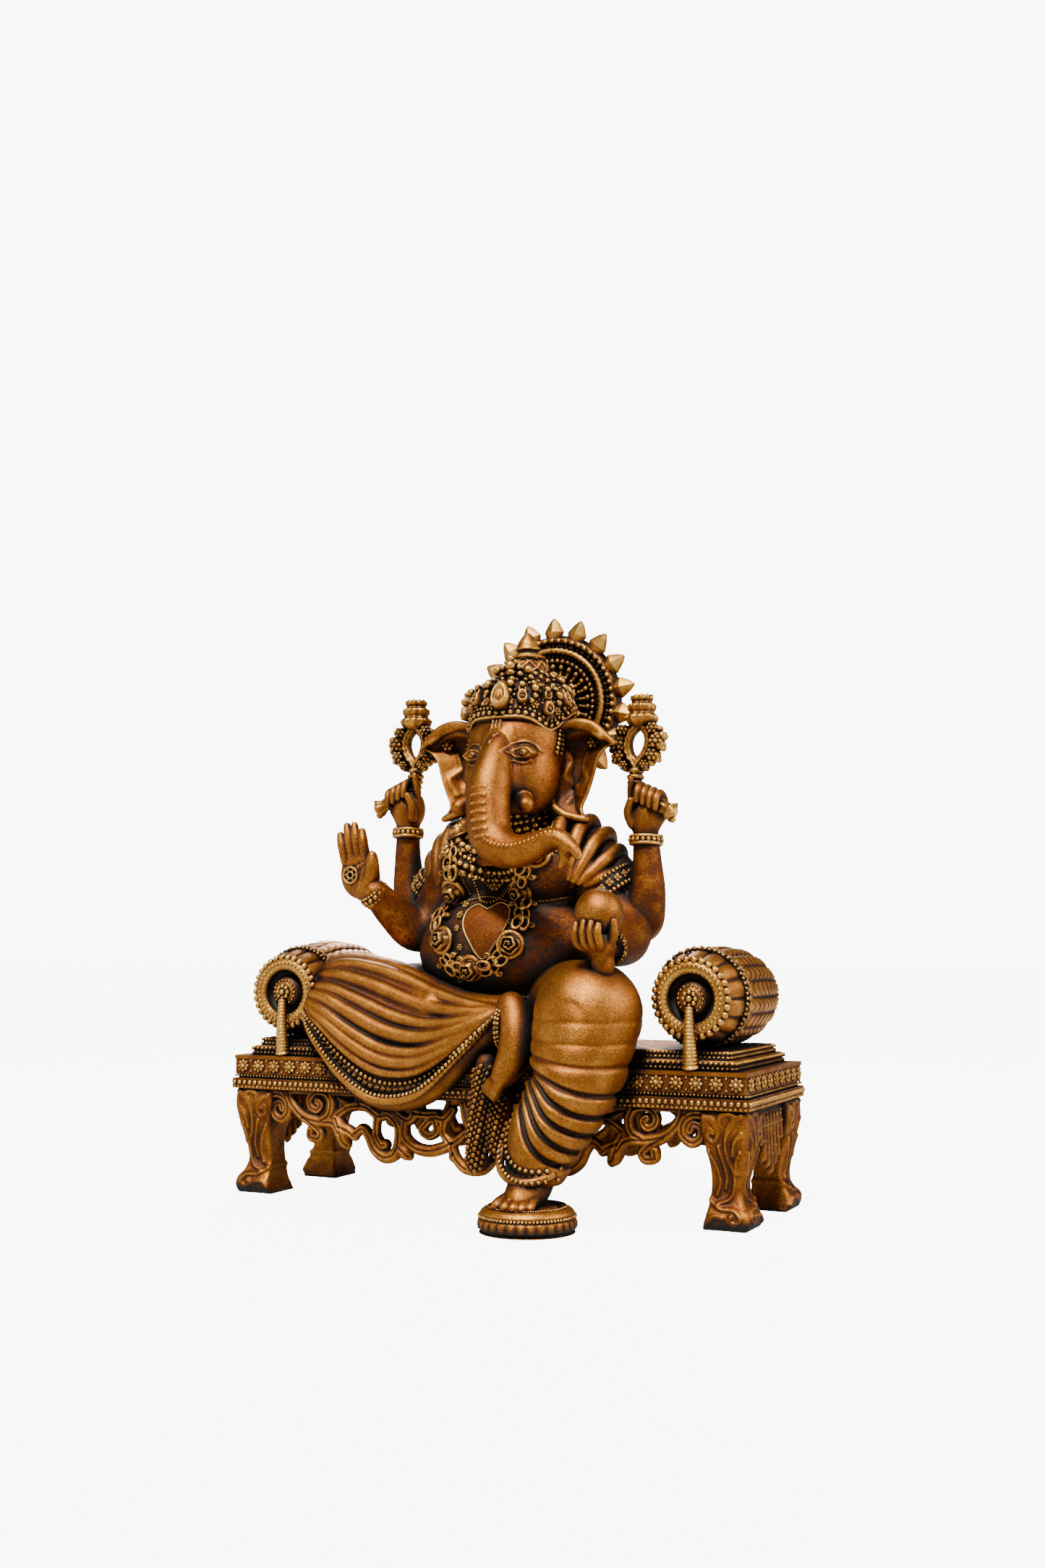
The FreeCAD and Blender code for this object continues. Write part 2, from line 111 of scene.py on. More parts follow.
# ================================================================ clay: solids from distance fields
class Clay:
    """A block of distance values. Shapes are pressed together in it, and then it becomes a mesh."""

    def __init__(self, low, high, cell):
        self.cell = cell * COARSE
        self.low = np.array(low, np.float32)
        count = np.ceil((np.array(high) - self.low) / self.cell).astype(int) + 1
        self.d = np.full(count, FAR, np.float32)

    def window(self, low, high, margin):
        first = np.floor((np.array(low) - margin - self.low) / self.cell).astype(int)
        last = np.ceil((np.array(high) + margin - self.low) / self.cell).astype(int) + 1
        first, last = np.maximum(first, 0), np.minimum(last, self.d.shape)
        if (last <= first).any():
            return None, None
        x, y, z = (self.low[k] + self.cell * np.arange(first[k], last[k], dtype=np.float32)
                   for k in range(3))
        cut = tuple(slice(a, b) for a, b in zip(first, last))
        return cut, (x[:, None, None], y[None, :, None], z[None, None, :])

    def press(self, low, high, distance, blend=0.0, carve=False):
        """Adds a shape, or carves it away, with a rounded joint blend millimetres wide."""
        cut, grid = self.window(low, high, blend + 2 * self.cell)
        if cut is None:
            return
        self.join(cut, distance(*grid), blend, carve)

    def join(self, cut, new, blend, carve):
        old = self.d[cut]
        self.d[cut] = -soft_min(-old, new, blend) if carve else soft_min(old, new, blend)

    def ball(self, centre, radius, blend=0.0, carve=False):
        self.egg(centre, (radius,) * 3, blend, carve)

    def egg(self, centre, radii, blend=0.0, carve=False):
        c, r = np.array(centre, float), np.array(radii, float)

        def distance(x, y, z):
            p = [x - c[0], y - c[1], z - c[2]]
            near = np.sqrt(sum((p[k] / r[k]) ** 2 for k in range(3)))
            slope = np.sqrt(sum((p[k] / r[k] ** 2) ** 2 for k in range(3))) + 1e-6
            return (near * (near - 1) / slope).astype(np.float32)
        self.press(c - r, c + r, distance, blend, carve)

    def limb(self, a, b, ra, rb, blend=0.0, carve=False):
        a, b = np.array(a, float), np.array(b, float)
        along = b - a
        size = max(float(along @ along), 1e-9)
        reach = max(ra, rb)

        def distance(x, y, z):
            px, py, pz = x - a[0], y - a[1], z - a[2]
            t = np.clip((px * along[0] + py * along[1] + pz * along[2]) / size, 0, 1)
            gap = np.sqrt((px - t * along[0]) ** 2 + (py - t * along[1]) ** 2 + (pz - t * along[2]) ** 2)
            return (gap - (ra + t * (rb - ra))).astype(np.float32)
        self.press(np.minimum(a, b) - reach, np.maximum(a, b) + reach, distance, blend, carve)

    def sweep(self, points, per_span=6, blend=0.0, carve=False, inner=None):
        """A tube along a smooth curve through (x, y, z, radius) rows. Its own links join with inner."""
        path = spline(points, per_span)
        low = (path[:, :3] - path[:, 3:]).min(0)
        high = (path[:, :3] + path[:, 3:]).max(0)
        cut = self.window(low, high, blend + 2 * self.cell)[0]
        if cut is None:
            return
        shape = tuple(s.stop - s.start for s in cut)
        tube = Clay.__new__(Clay)
        tube.cell, tube.d = self.cell, np.full(shape, FAR, np.float32)
        tube.low = self.low + np.array([s.start for s in cut], np.float32) * self.cell
        for p, q in zip(path[:-1], path[1:]):
            tube.limb(p[:3], q[:3], p[3], q[3], blend if inner is None else inner)
        self.join(cut, tube.d, blend, carve)

    def ring(self, centre, axis, radius, thick, blend=0.0, carve=False):
        c, w = np.array(centre, float), unit(axis)
        reach = radius + thick

        def distance(x, y, z):
            px, py, pz = x - c[0], y - c[1], z - c[2]
            up = px * w[0] + py * w[1] + pz * w[2]
            out = np.sqrt(np.maximum(px ** 2 + py ** 2 + pz ** 2 - up ** 2, 0)) - radius
            return (np.sqrt(out ** 2 + up ** 2) - thick).astype(np.float32)
        self.press(c - reach, c + reach, distance, blend, carve)

    def block(self, low, high, round_by=0.0, blend=0.0, carve=False):
        low, high = np.array(low, float), np.array(high, float)
        c, half = (low + high) / 2, (high - low) / 2 - round_by

        def distance(x, y, z):
            q = [np.abs(v - c[k]) - half[k] for k, v in enumerate((x, y, z))]
            outside = np.sqrt(sum(np.maximum(v, 0) ** 2 for v in q))
            inside = np.minimum(np.maximum(np.maximum(q[0], q[1]), q[2]), 0)
            return (outside + inside - round_by).astype(np.float32)
        self.press(low, high, distance, blend, carve)

    def panel(self, outline, middle, half, blend=0.0, carve=False, round_by=0.0):
        """A plate seen from the front: outline in X and Z, middle(x, z) its Y, half its half thickness."""
        outline = np.asarray(outline, float)
        low = [outline[:, 0].min(), -99, outline[:, 1].min()]
        high = [outline[:, 0].max(), 99, outline[:, 1].max()]

        def distance(x, y, z):
            flat = polygon_distance(outline, x[:, 0, :], z[0, :, :])[:, None, :] + round_by
            depth = np.abs(y - middle(x, z)) - (half - round_by)
            outside = np.sqrt(np.maximum(flat, 0) ** 2 + np.maximum(depth, 0) ** 2)
            return (outside + np.minimum(np.maximum(flat, depth), 0) - round_by).astype(np.float32)
        self.press(low, high, distance, blend, carve)

    def swell(self, low, high, height):
        """Raises the surface by height(x, y, z) inside a window."""
        cut, grid = self.window(low, high, 0)
        if cut is not None:
            self.d[cut] -= height(*grid).astype(np.float32)

    def sample(self, points):
        """Distance values at points, between the cells."""
        at = (np.asarray(points, float) - self.low) / self.cell
        at = np.clip(at, 0, np.array(self.d.shape) - 1.001)
        base = at.astype(int)
        part = at - base
        value = 0
        for corner in np.ndindex(2, 2, 2):
            share = np.prod(np.where(corner, part, 1 - part), axis=-1)
            index = base + np.array(corner)
            value = value + share * self.d[index[..., 0], index[..., 1], index[..., 2]]
        return value

    def normals(self, points):
        h = self.cell
        step = np.eye(3) * h
        slope = np.stack([self.sample(points + step[k]) - self.sample(points - step[k])
                          for k in range(3)], -1)
        return slope / (np.linalg.norm(slope, axis=-1, keepdims=True) + 1e-9)

    def meet(self, starts, toward, reach=40.0):
        """Where rays from starts first meet the surface, the normals there, and which rays met it."""
        starts = np.asarray(starts, float)
        toward = np.broadcast_to(unit(toward) if np.ndim(toward) == 1 else toward, starts.shape)
        far = np.arange(0, reach, self.cell * 0.5)
        value = self.sample(starts[:, None, :] + far[None, :, None] * toward[:, None, :])
        inside = value < 0
        first = inside.argmax(1)
        met = inside.any(1) & (first > 0)
        first = np.maximum(first, 1)
        row = np.arange(len(starts))
        a, b = value[row, first - 1], value[row, first]
        t = far[first - 1] + (far[1] - far[0]) * a / np.maximum(a - b, 1e-6)
        points = starts + t[:, None] * toward
        return points, self.normals(points), met

    def mesh(self):
        """Vertices and quads of the surface."""
        self.d[0], self.d[-1] = FAR, FAR
        self.d[:, 0], self.d[:, -1] = FAR, FAR
        self.d[:, :, 0], self.d[:, :, -1] = FAR, FAR
        grid = openvdb.FloatGrid(FAR)
        grid.copyFromArray(np.minimum(self.d, FAR))
        points, quads = grid.convertToQuads(isovalue=0.0)
        return self.low + points * self.cell, quads.astype(np.int64)[:, ::-1]


def soft_min(a, b, width):
    if width <= 0:
        return np.minimum(a, b)
    mix = np.maximum(width - np.abs(a - b), 0) / width
    return np.minimum(a, b) - mix * mix * (width / 4)


def polygon_distance(outline, x, z):
    """Signed distance in a plane to a closed outline, below 0 inside it."""
    x, z = np.broadcast_arrays(x, z)
    nearest = np.full(x.shape, 1e9, np.float32)
    inside = np.zeros(x.shape, bool)
    for (ax, az), (bx, bz) in zip(outline, np.roll(outline, -1, 0)):
        ex, ez = bx - ax, bz - az
        t = np.clip(((x - ax) * ex + (z - az) * ez) / max(ex * ex + ez * ez, 1e-9), 0, 1)
        nearest = np.minimum(nearest, (x - ax - t * ex) ** 2 + (z - az - t * ez) ** 2)
        if az != bz:
            inside ^= ((z < az) != (z < bz)) & (x < ax + (z - az) / (bz - az) * ex)
    return np.where(inside, -1, 1) * np.sqrt(nearest)


def line_distance(path, x, z):
    """Distance in a plane to an open line."""
    nearest = np.full(np.broadcast(x, z).shape, 1e9, np.float32)
    for (ax, az), (bx, bz) in zip(path[:-1], path[1:]):
        ex, ez = bx - ax, bz - az
        t = np.clip(((x - ax) * ex + (z - az) * ez) / max(ex * ex + ez * ez, 1e-9), 0, 1)
        nearest = np.minimum(nearest, (x - ax - t * ex) ** 2 + (z - az - t * ez) ** 2)
    return np.sqrt(nearest)


# ================================================================ meshes
def relief(points, faces, rounds):
    """How far each vertex stands out of its smoothed surroundings, in millimetres."""
    corners = faces.shape[1]
    a = faces.ravel()
    b = np.roll(faces, -1, 1).ravel()
    count = len(points)
    degree = np.bincount(a, minlength=count) + np.bincount(b, minlength=count) + 1e-9
    smooth = points.astype(float).copy()
    for _ in range(rounds):
        total = np.stack([np.bincount(a, smooth[b, k], count) + np.bincount(b, smooth[a, k], count)
                          for k in range(3)], 1)
        smooth = 0.3 * smooth + 0.7 * total / degree[:, None]
    p = points[faces[:, :3]]
    facing = np.cross(p[:, 1] - p[:, 0], p[:, 2] - p[:, 0])
    normal = np.stack([sum(np.bincount(faces[:, c], facing[:, k], count) for c in range(corners))
                       for k in range(3)], 1)
    normal /= np.linalg.norm(normal, axis=1)[:, None] + 1e-12
    return ((points - smooth) * normal).sum(1)


def outward(points, faces):
    """The same quads, turned over if they looked into the shape."""
    a, b, c, d = (points[faces[:, k]] - points.mean(0) for k in range(4))
    volume = (a * (np.cross(b, c) + np.cross(c, d))).sum()
    return faces if volume > 0 else faces[:, ::-1]


def piece(name, points, faces, material, slot, stands_for=(), rounds=6, raised=None):
    """Makes the Blender object: its mesh, relief values for the paint, material and body; slot is not used."""
    faces = outward(np.asarray(points), np.asarray(faces))
    mesh = bpy.data.meshes.new(name)
    mesh.vertices.add(len(points))
    mesh.vertices.foreach_set("co", place(points).astype(np.float32).ravel())
    mesh.loops.add(faces.size)
    mesh.loops.foreach_set("vertex_index", faces.astype(np.int32).ravel())
    mesh.polygons.add(len(faces))
    mesh.polygons.foreach_set("loop_start", np.arange(0, faces.size, faces.shape[1], dtype=np.int32))
    mesh.update(calc_edges=True)
    mesh.validate()
    mesh.shade_smooth()
    if raised is None:
        raised = relief(np.asarray(points), faces, rounds)
    stored = mesh.attributes.new("relief", "FLOAT", "POINT")
    stored.data.foreach_set("value", np.asarray(raised, np.float32))
    obj = bpy.data.objects.new(name, mesh)
    bpy.context.scene.collection.objects.link(obj)
    mesh.materials.append(material)
    if stands_for:
        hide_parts(*stands_for)
    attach(obj, "root")
    return obj


def sculpt(name, clay, material, slot, stands_for=(), rounds=6):
    return piece(name, *clay.mesh(), material, slot, stands_for, rounds)


# ================================================================ paint
class Nodes:
    """Short calls for building one material's node tree."""

    def __init__(self, name):
        self.material = bpy.data.materials.new(name)
        self.material.use_nodes = True
        self.tree = self.material.node_tree
        self.tree.nodes.clear()

    def add(self, kind, **values):
        node = self.tree.nodes.new("ShaderNode" + kind)
        for key, value in values.items():
            if key in node.inputs:
                node.inputs[key].default_value = value
            else:
                setattr(node, key, value)
        return node

    def link(self, output, target):
        self.tree.links.new(output, target)

    def math(self, operation, a, b=0.0, clamp=False):
        node = self.add("Math", operation=operation, use_clamp=clamp)
        for socket, value in zip(node.inputs, (a, b)):
            if isinstance(value, (int, float)):
                socket.default_value = value
            else:
                self.link(value, socket)
        return node.outputs[0]

    def rescale(self, value, low, high, to_low=0.0, to_high=1.0):
        node = self.add("MapRange", interpolation_type="SMOOTHSTEP")
        self.link(value, node.inputs["Value"])
        for key, number in (("From Min", low), ("From Max", high), ("To Min", to_low),
                            ("To Max", to_high)):
            node.inputs[key].default_value = number
        return node.outputs["Result"]

    def noise(self, position, size, detail=3.0, roughness=0.6):
        """Noise whose features are about size millimetres across, from 0 to 1."""
        node = self.add("TexNoise", Scale=1 / (size * MM), Detail=detail, Roughness=roughness)
        self.link(position, node.inputs["Vector"])
        return node.outputs["Fac"]

    def colours(self, value, stops):
        node = self.add("ValToRGB")
        ramp = node.color_ramp
        while len(ramp.elements) > 1:
            ramp.elements.remove(ramp.elements[0])
        ramp.elements[0].position, ramp.elements[0].color = stops[0][0], (*stops[0][1], 1)
        for at, colour in stops[1:]:
            ramp.elements.new(at).color = (*colour, 1)
        self.link(value, node.inputs["Fac"])
        return node.outputs["Color"]


# Colour ramp from dark to bright; its darkest stops stand for the dark antiquing and for painted shade from
# ambient occlusion.
WASH_AND_SHADE = (0.004, 0.002, 0.0015)
UMBER = (0.042, 0.011, 0.005)
COPPER = (0.20, 0.052, 0.011)
BRONZE = (0.43, 0.156, 0.027)
GOLD = (0.78, 0.385, 0.070)
PALE_GOLD = (1.0, 0.64, 0.18)


def antique_paint(name, body=0.5, wash_and_shade=1.0, raised=0.12, grain=1.0, blotch=0.25, roughness=0.42,
                  pits=0.0):
    """Metallic paint over dark antiquing, with painted shade: an ambient-occlusion term darkens the colour
    where the surface is sheltered, in hollows, between parts and under things, by the strength given for
    antiquing and shade.
    body is how gold the open surface is, from 0 to 1; raised is the relief in millimetres that is rubbed
    bright; grain is the depth of the fine speckle; pits leave small dark hollows."""
    n = Nodes(name)
    position = n.add("TexCoord").outputs["Object"]
    stored = n.add("Attribute", attribute_name="relief").outputs["Fac"]
    # Painted shade: ambient occlusion darkens the colour in hollows, between parts and under things, along
    # with the dark antiquing.
    shelter = n.add("AmbientOcclusion", samples=6, Distance=4.5 * MM).outputs["AO"]
    fine = n.noise(position, 0.30, 2.0, 0.7)
    speck = n.noise(position, 0.13, 1.0, 0.5)
    cloud = n.noise(position, 4.5, 4.0, 0.65)
    height = n.rescale(stored, -raised, raised, -0.46, 0.38)
    occlusion_shade = n.rescale(shelter, 0.35, 1.0, -0.92 * wash_and_shade, 0.05)
    mottle = n.math("MULTIPLY", n.math("SUBTRACT", cloud, 0.5), blotch * 2)
    speckle = n.math("MULTIPLY", n.math("SUBTRACT", fine, 0.5), 0.55 * grain)
    value = n.math("ADD", n.math("ADD", height, occlusion_shade), n.math("ADD", mottle, speckle))
    if pits:
        hollow = n.rescale(n.noise(position, 1.1, 3.0, 0.65), 0.54, 0.70, 0.0, -pits)
        value = n.math("ADD", value, hollow)
    value = n.math("ADD", value, body, clamp=True)
    colour = n.colours(value, ((0.0, WASH_AND_SHADE), (0.17, UMBER), (0.40, COPPER), (0.60, BRONZE), (0.81, GOLD),
                               (1.0, PALE_GOLD)))
    shader = n.add("BsdfPrincipled")
    n.link(colour, shader.inputs["Base Color"])
    n.link(n.rescale(value, 0.05, 0.4, 0.15, 0.92), shader.inputs["Metallic"])
    rough = n.math("ADD", n.rescale(value, 0.1, 0.9, roughness + 0.16, roughness - 0.06),
                   n.math("MULTIPLY", n.math("SUBTRACT", fine, 0.5), 0.25))
    n.link(rough, shader.inputs["Roughness"])
    bump = n.add("Bump", Strength=0.8, Distance=0.09 * MM)
    n.link(n.math("ADD", fine, n.math("MULTIPLY", speck, 0.7)), bump.inputs["Height"])
    n.link(bump.outputs["Normal"], shader.inputs["Normal"])
    out = n.add("OutputMaterial")
    n.link(shader.outputs["BSDF"], out.inputs["Surface"])
    return n.material


SKIN = antique_paint("skin_gold", body=0.54, wash_and_shade=1.05, raised=0.20, grain=1.25, blotch=0.20,
                     roughness=0.39)
HAND = antique_paint("hand_bronze", body=0.56, wash_and_shade=1.0, raised=0.25, grain=1.1, blotch=0.24)
BELLY = antique_paint("belly_copper", body=0.30, wash_and_shade=1.2, raised=0.25, grain=1.5, blotch=0.50, pits=0.40)
ARM = antique_paint("arm_copper", body=0.40, wash_and_shade=1.1, raised=0.25, grain=1.4, blotch=0.46, pits=0.20)
CLOTH = antique_paint("cloth_gold", body=0.58, wash_and_shade=1.0, raised=0.26, blotch=0.20, grain=1.0,
                      roughness=0.38)
CARVED = antique_paint("carved_gold", body=0.53, wash_and_shade=1.2, raised=0.20, blotch=0.32, grain=1.2)
JEWEL = antique_paint("jewel_gold", body=0.51, wash_and_shade=1.2, raised=0.12, blotch=0.26, roughness=0.36)
DARK = antique_paint("dark_lace", body=0.24, wash_and_shade=1.0, raised=0.12, blotch=0.26)
CUSHION = antique_paint("cushion_copper", body=0.48, wash_and_shade=1.0, raised=0.2, blotch=0.30)
EAR_PAINT = antique_paint("ear_bronze", body=0.58, wash_and_shade=0.72, raised=0.25, blotch=0.34, pits=0.12)
COLLAR = antique_paint("collar_gold", body=0.74, wash_and_shade=0.8, raised=0.12, blotch=0.24)
HEART = antique_paint("heart_olive", body=0.38, wash_and_shade=0.6, raised=0.25, blotch=0.14, grain=1.2)


# ================================================================ stage
def make_floor():
    corners = [(-3000, -3000, 0), (3000, -3000, 0), (3000, 3000, 0), (-3000, 3000, 0)]
    mesh = bpy.data.meshes.new("floor")
    mesh.from_pydata([tuple(p) for p in place(corners)], [], [(0, 1, 2, 3)])
    floor = bpy.data.objects.new("floor", mesh)
    bpy.context.scene.collection.objects.link(floor)
    n = Nodes("floor_white")
    shader = n.add("BsdfPrincipled", Roughness=0.8)
    shader.inputs["Base Color"].default_value = (0.42, 0.415, 0.41, 1)
    shader.inputs["Emission Color"].default_value = (1.0, 0.99, 0.98, 1)
    seen = n.add("LightPath").outputs["Is Camera Ray"]
    n.link(n.rescale(seen, 0, 1, 0.0, FLOOR_GLOW), shader.inputs["Emission Strength"])
    n.link(shader.outputs["BSDF"], n.add("OutputMaterial").inputs["Surface"])
    mesh.materials.append(n.material)


FLOOR_GLOW = 8.2        # brightness that the floor adds where it is seen, so that it meets the backdrop
BACKDROP = 9.0          # brightness of the backdrop that is seen
SKY = 0.07              # brightness of the light it gives


def lamp(name, kind, start, aim, power, colour, size):
    data = bpy.data.lights.new(name, kind)
    data.energy, data.color = power, colour
    if kind == "SUN":
        data.angle = math.radians(size)
    else:
        data.shape, data.size = "DISK", size * MM
    light = bpy.data.objects.new(name, data)
    bpy.context.scene.collection.objects.link(light)
    light.location = place(start)
    toward = Vector(place(aim)) - light.location
    light.rotation_euler = toward.to_track_quat("-Z", "Y").to_euler()


def make_lights():
    middle = (0, -5, 60)
    lamp("key", "SUN", (30, -210, 400), middle, 5.3, (1.0, 0.95, 0.79), 10)
    lamp("left_fill", "AREA", (-330, -200, 140), middle, 0.22, (1.0, 0.94, 0.84), 160)
    lamp("right_rim", "AREA", (330, 40, 220), middle, 0.7, (1.0, 0.93, 0.84), 120)
    lamp("back_rim", "AREA", (-160, 300, 240), middle, 0.9, (1.0, 0.95, 0.9), 160)
    world = bpy.data.worlds.new("studio")
    bpy.context.scene.world = world
    world.use_nodes = True
    tree = world.node_tree
    background = tree.nodes["Background"]
    background.inputs["Color"].default_value = (1.0, 0.99, 0.98, 1)
    seen = tree.nodes.new("ShaderNodeLightPath")
    strength = tree.nodes.new("ShaderNodeMapRange")
    strength.inputs["To Min"].default_value = SKY
    strength.inputs["To Max"].default_value = BACKDROP
    tree.links.new(seen.outputs["Is Camera Ray"], strength.inputs["Value"])
    tree.links.new(strength.outputs["Result"], background.inputs["Strength"])


CAMERA_AZIMUTH, CAMERA_ELEVATION = 25.93, -5.59
CAMERA_DISTANCE = 356.1
CAMERA_TARGET = (2.92, 0.0, 90.59)
CAMERA_LENS = 36.86


def make_camera():
    data = bpy.data.cameras.new("camera")
    data.lens, data.sensor_width, data.clip_start = CAMERA_LENS, 36.0, 0.01
    camera = bpy.data.objects.new("camera", data)
    bpy.context.scene.collection.objects.link(camera)
    bpy.context.scene.camera = camera
    turn, lift = math.radians(CAMERA_AZIMUTH), math.radians(CAMERA_ELEVATION)
    back = Vector((math.sin(turn) * math.cos(lift), -math.cos(turn) * math.cos(lift), math.sin(lift)))
    camera.location = place(np.array(CAMERA_TARGET) + np.array(back) * CAMERA_DISTANCE)
    camera.rotation_euler = (-back).to_track_quat("-Z", "Y").to_euler()


# ================================================================ body
def make_torso():
    clay = Clay((-28, -20, 34), (32, 18, 97), 0.28)
    clay.egg((0.4, -0.5, 54.5), (21.5, 15.6, 14.6))
    clay.egg((MIDDLE, 1.5, 41), (18, 13, 8), 4)
    clay.egg((MIDDLE, 2.0, 70), (18.5, 11.0, 12), 3)
    for side in (-1, 1):
        clay.ball((MIDDLE + side * 9, -5.0, 71.5), 7.6, 1.5)
    clay.limb((MIDDLE, 2.0, 76), (MIDDLE, 0.0, 87.5), 9.4, 7.6, 3.0)
    sculpt("torso", clay, BELLY, "skin_resin", ("torso",), rounds=10)
    return clay


ARMS = {
    "arm_upper_right": ((-12, 3, 75, 6.4), (-18, 4, 68, 5.6), (-23.4, 4, 62.0, 4.9),
                        (-26.8, 3.0, 66.5, 4.0),
                        (-27.4, 2.2, 73.6, 3.0), (-27.2, 1.8, 81.2, 2.5)),
    "arm_upper_left": ((17, 3, 75, 6.4), (24.0, 4, 68, 5.6), (29.2, 3, 60.5, 5.0), (31.4, 2.0, 66.0, 4.0),
                       (31.8, 1.6, 72.0, 3.1), (31.6, 1.5, 78.0, 2.6)),
    "arm_lower_right": ((-13, -1.5, 70, 6.0), (-17, -2.0, 62.0, 5.8), (-20.4, -5.6, 58.6, 5.0),
                        (-23.6, -10.6, 62.2, 3.8),
                        (-26.0, -14.6, 66.6, 2.9)),
    "arm_lower_left": ((19, 0.4, 69, 5.4), (26.0, 1.2, 60.5, 5.6), (29.4, -4.6, 56.2, 4.8),
                       (31.0, -14.0, 54.2, 3.4),
                       (32.6, -23.4, 54.2, 2.2)),
}


def make_arms():
    for name, path in ARMS.items():
        p = np.array(path)
        clay = Clay(p[:, :3].min(0) - 7, p[:, :3].max(0) + 7, 0.25)
        clay.sweep(path, 8, inner=0.3)
        sculpt(name, clay, ARM, "skin_resin", (name,))


# ================================================================ beads and other repeated ornament
def ball_mesh(rings=6, sides=10):
    """A unit ball as quads, its poles closed by narrow quads."""
    points = []
    for i in range(rings + 1):
        lift = math.pi * (i + 0.04) / (rings + 0.08)
        for j in range(sides):
            turn = 2 * math.pi * j / sides
            points.append((math.sin(lift) * math.cos(turn), math.sin(lift) * math.sin(turn),
                           math.cos(lift)))
    faces = []
    for i in range(rings):
        for j in range(sides):
            k = (j + 1) % sides
            faces.append((i * sides + j, (i + 1) * sides + j, (i + 1) * sides + k, i * sides + k))
    top = [(j, (j + 1) % sides, (sides - j - 2) % sides, (sides - j - 1) % sides)
           for j in range(sides // 2 - 1)]
    low = rings * sides
    bottom = [(low + d, low + c, low + b, low + a) for a, b, c, d in top]
    return np.array(points), np.array(faces + top + bottom)


def badge(outline, height, rings=9, sides=36):
    """A unit ornament facing +Z: outline(turn) is its edge radius, height(share of that radius, turn) its
    relief. Its last ring drops below the surface that it sits on."""
    turn = 2 * math.pi * np.arange(sides) / sides
    points = []
    for i in range(rings + 1):
        share = max(i / rings, 0.02)
        radius = share * outline(turn)
        z = height(share, turn) if i < rings else np.full(sides, -0.6)
        points.append(np.stack([radius * np.cos(turn), radius * np.sin(turn), z * np.ones(sides)], 1))
    return np.vstack(points), grid_faces(rings + 1, sides)


def flower(petals, knob=0.32, depth=0.5, rings=8, sides_per_petal=6):
    def outline(turn):
        return 0.72 + 0.28 * np.abs(np.cos(petals * turn / 2)) ** 0.7

    def height(share, turn):
        if share < knob:
            return depth * (0.85 + 0.75 * math.sqrt(1 - (share / knob) ** 2))
        lobe = np.abs(np.cos(petals * turn / 2))
        return depth * (0.3 + 0.7 * math.sin(math.pi * (0.15 + 0.85 * (share - knob) / (1 - knob)))
                        * (0.35 + 0.65 * lobe))
    return badge(outline, height, rings, petals * sides_per_petal)


def drop_outline(turn):
    return 0.60 + 0.40 * np.maximum(np.sin(turn), 0) ** 4


def grid_faces(rows, columns, closed=True):
    """Quads of a grid of rows by columns; closed joins its last column to its first."""
    faces = []
    for i in range(rows - 1):
        for j in range(columns if closed else columns - 1):
            k = (j + 1) % columns
            faces.append((i * columns + j, (i + 1) * columns + j, (i + 1) * columns + k, i * columns + k))
    return np.array(faces)


BALL = ball_mesh()


def facing(normals, spin=0.0):
    """Turning matrices whose third axis is each normal."""
    w = np.asarray(normals, float)
    w = w / np.linalg.norm(w, axis=1)[:, None]
    guide = np.where(np.abs(w[:, 2:]) < 0.9, [[0.0, 0.0, 1.0]], [[0.0, 1.0, 0.0]])
    u = np.cross(guide, w)
    u /= np.linalg.norm(u, axis=1)[:, None]
    v = np.cross(w, u)
    c, s = np.cos(spin), np.sin(spin)
    if np.ndim(c):
        c, s = c[:, None], s[:, None]
    return np.stack([c * u + s * v, c * v - s * u, w], 2)


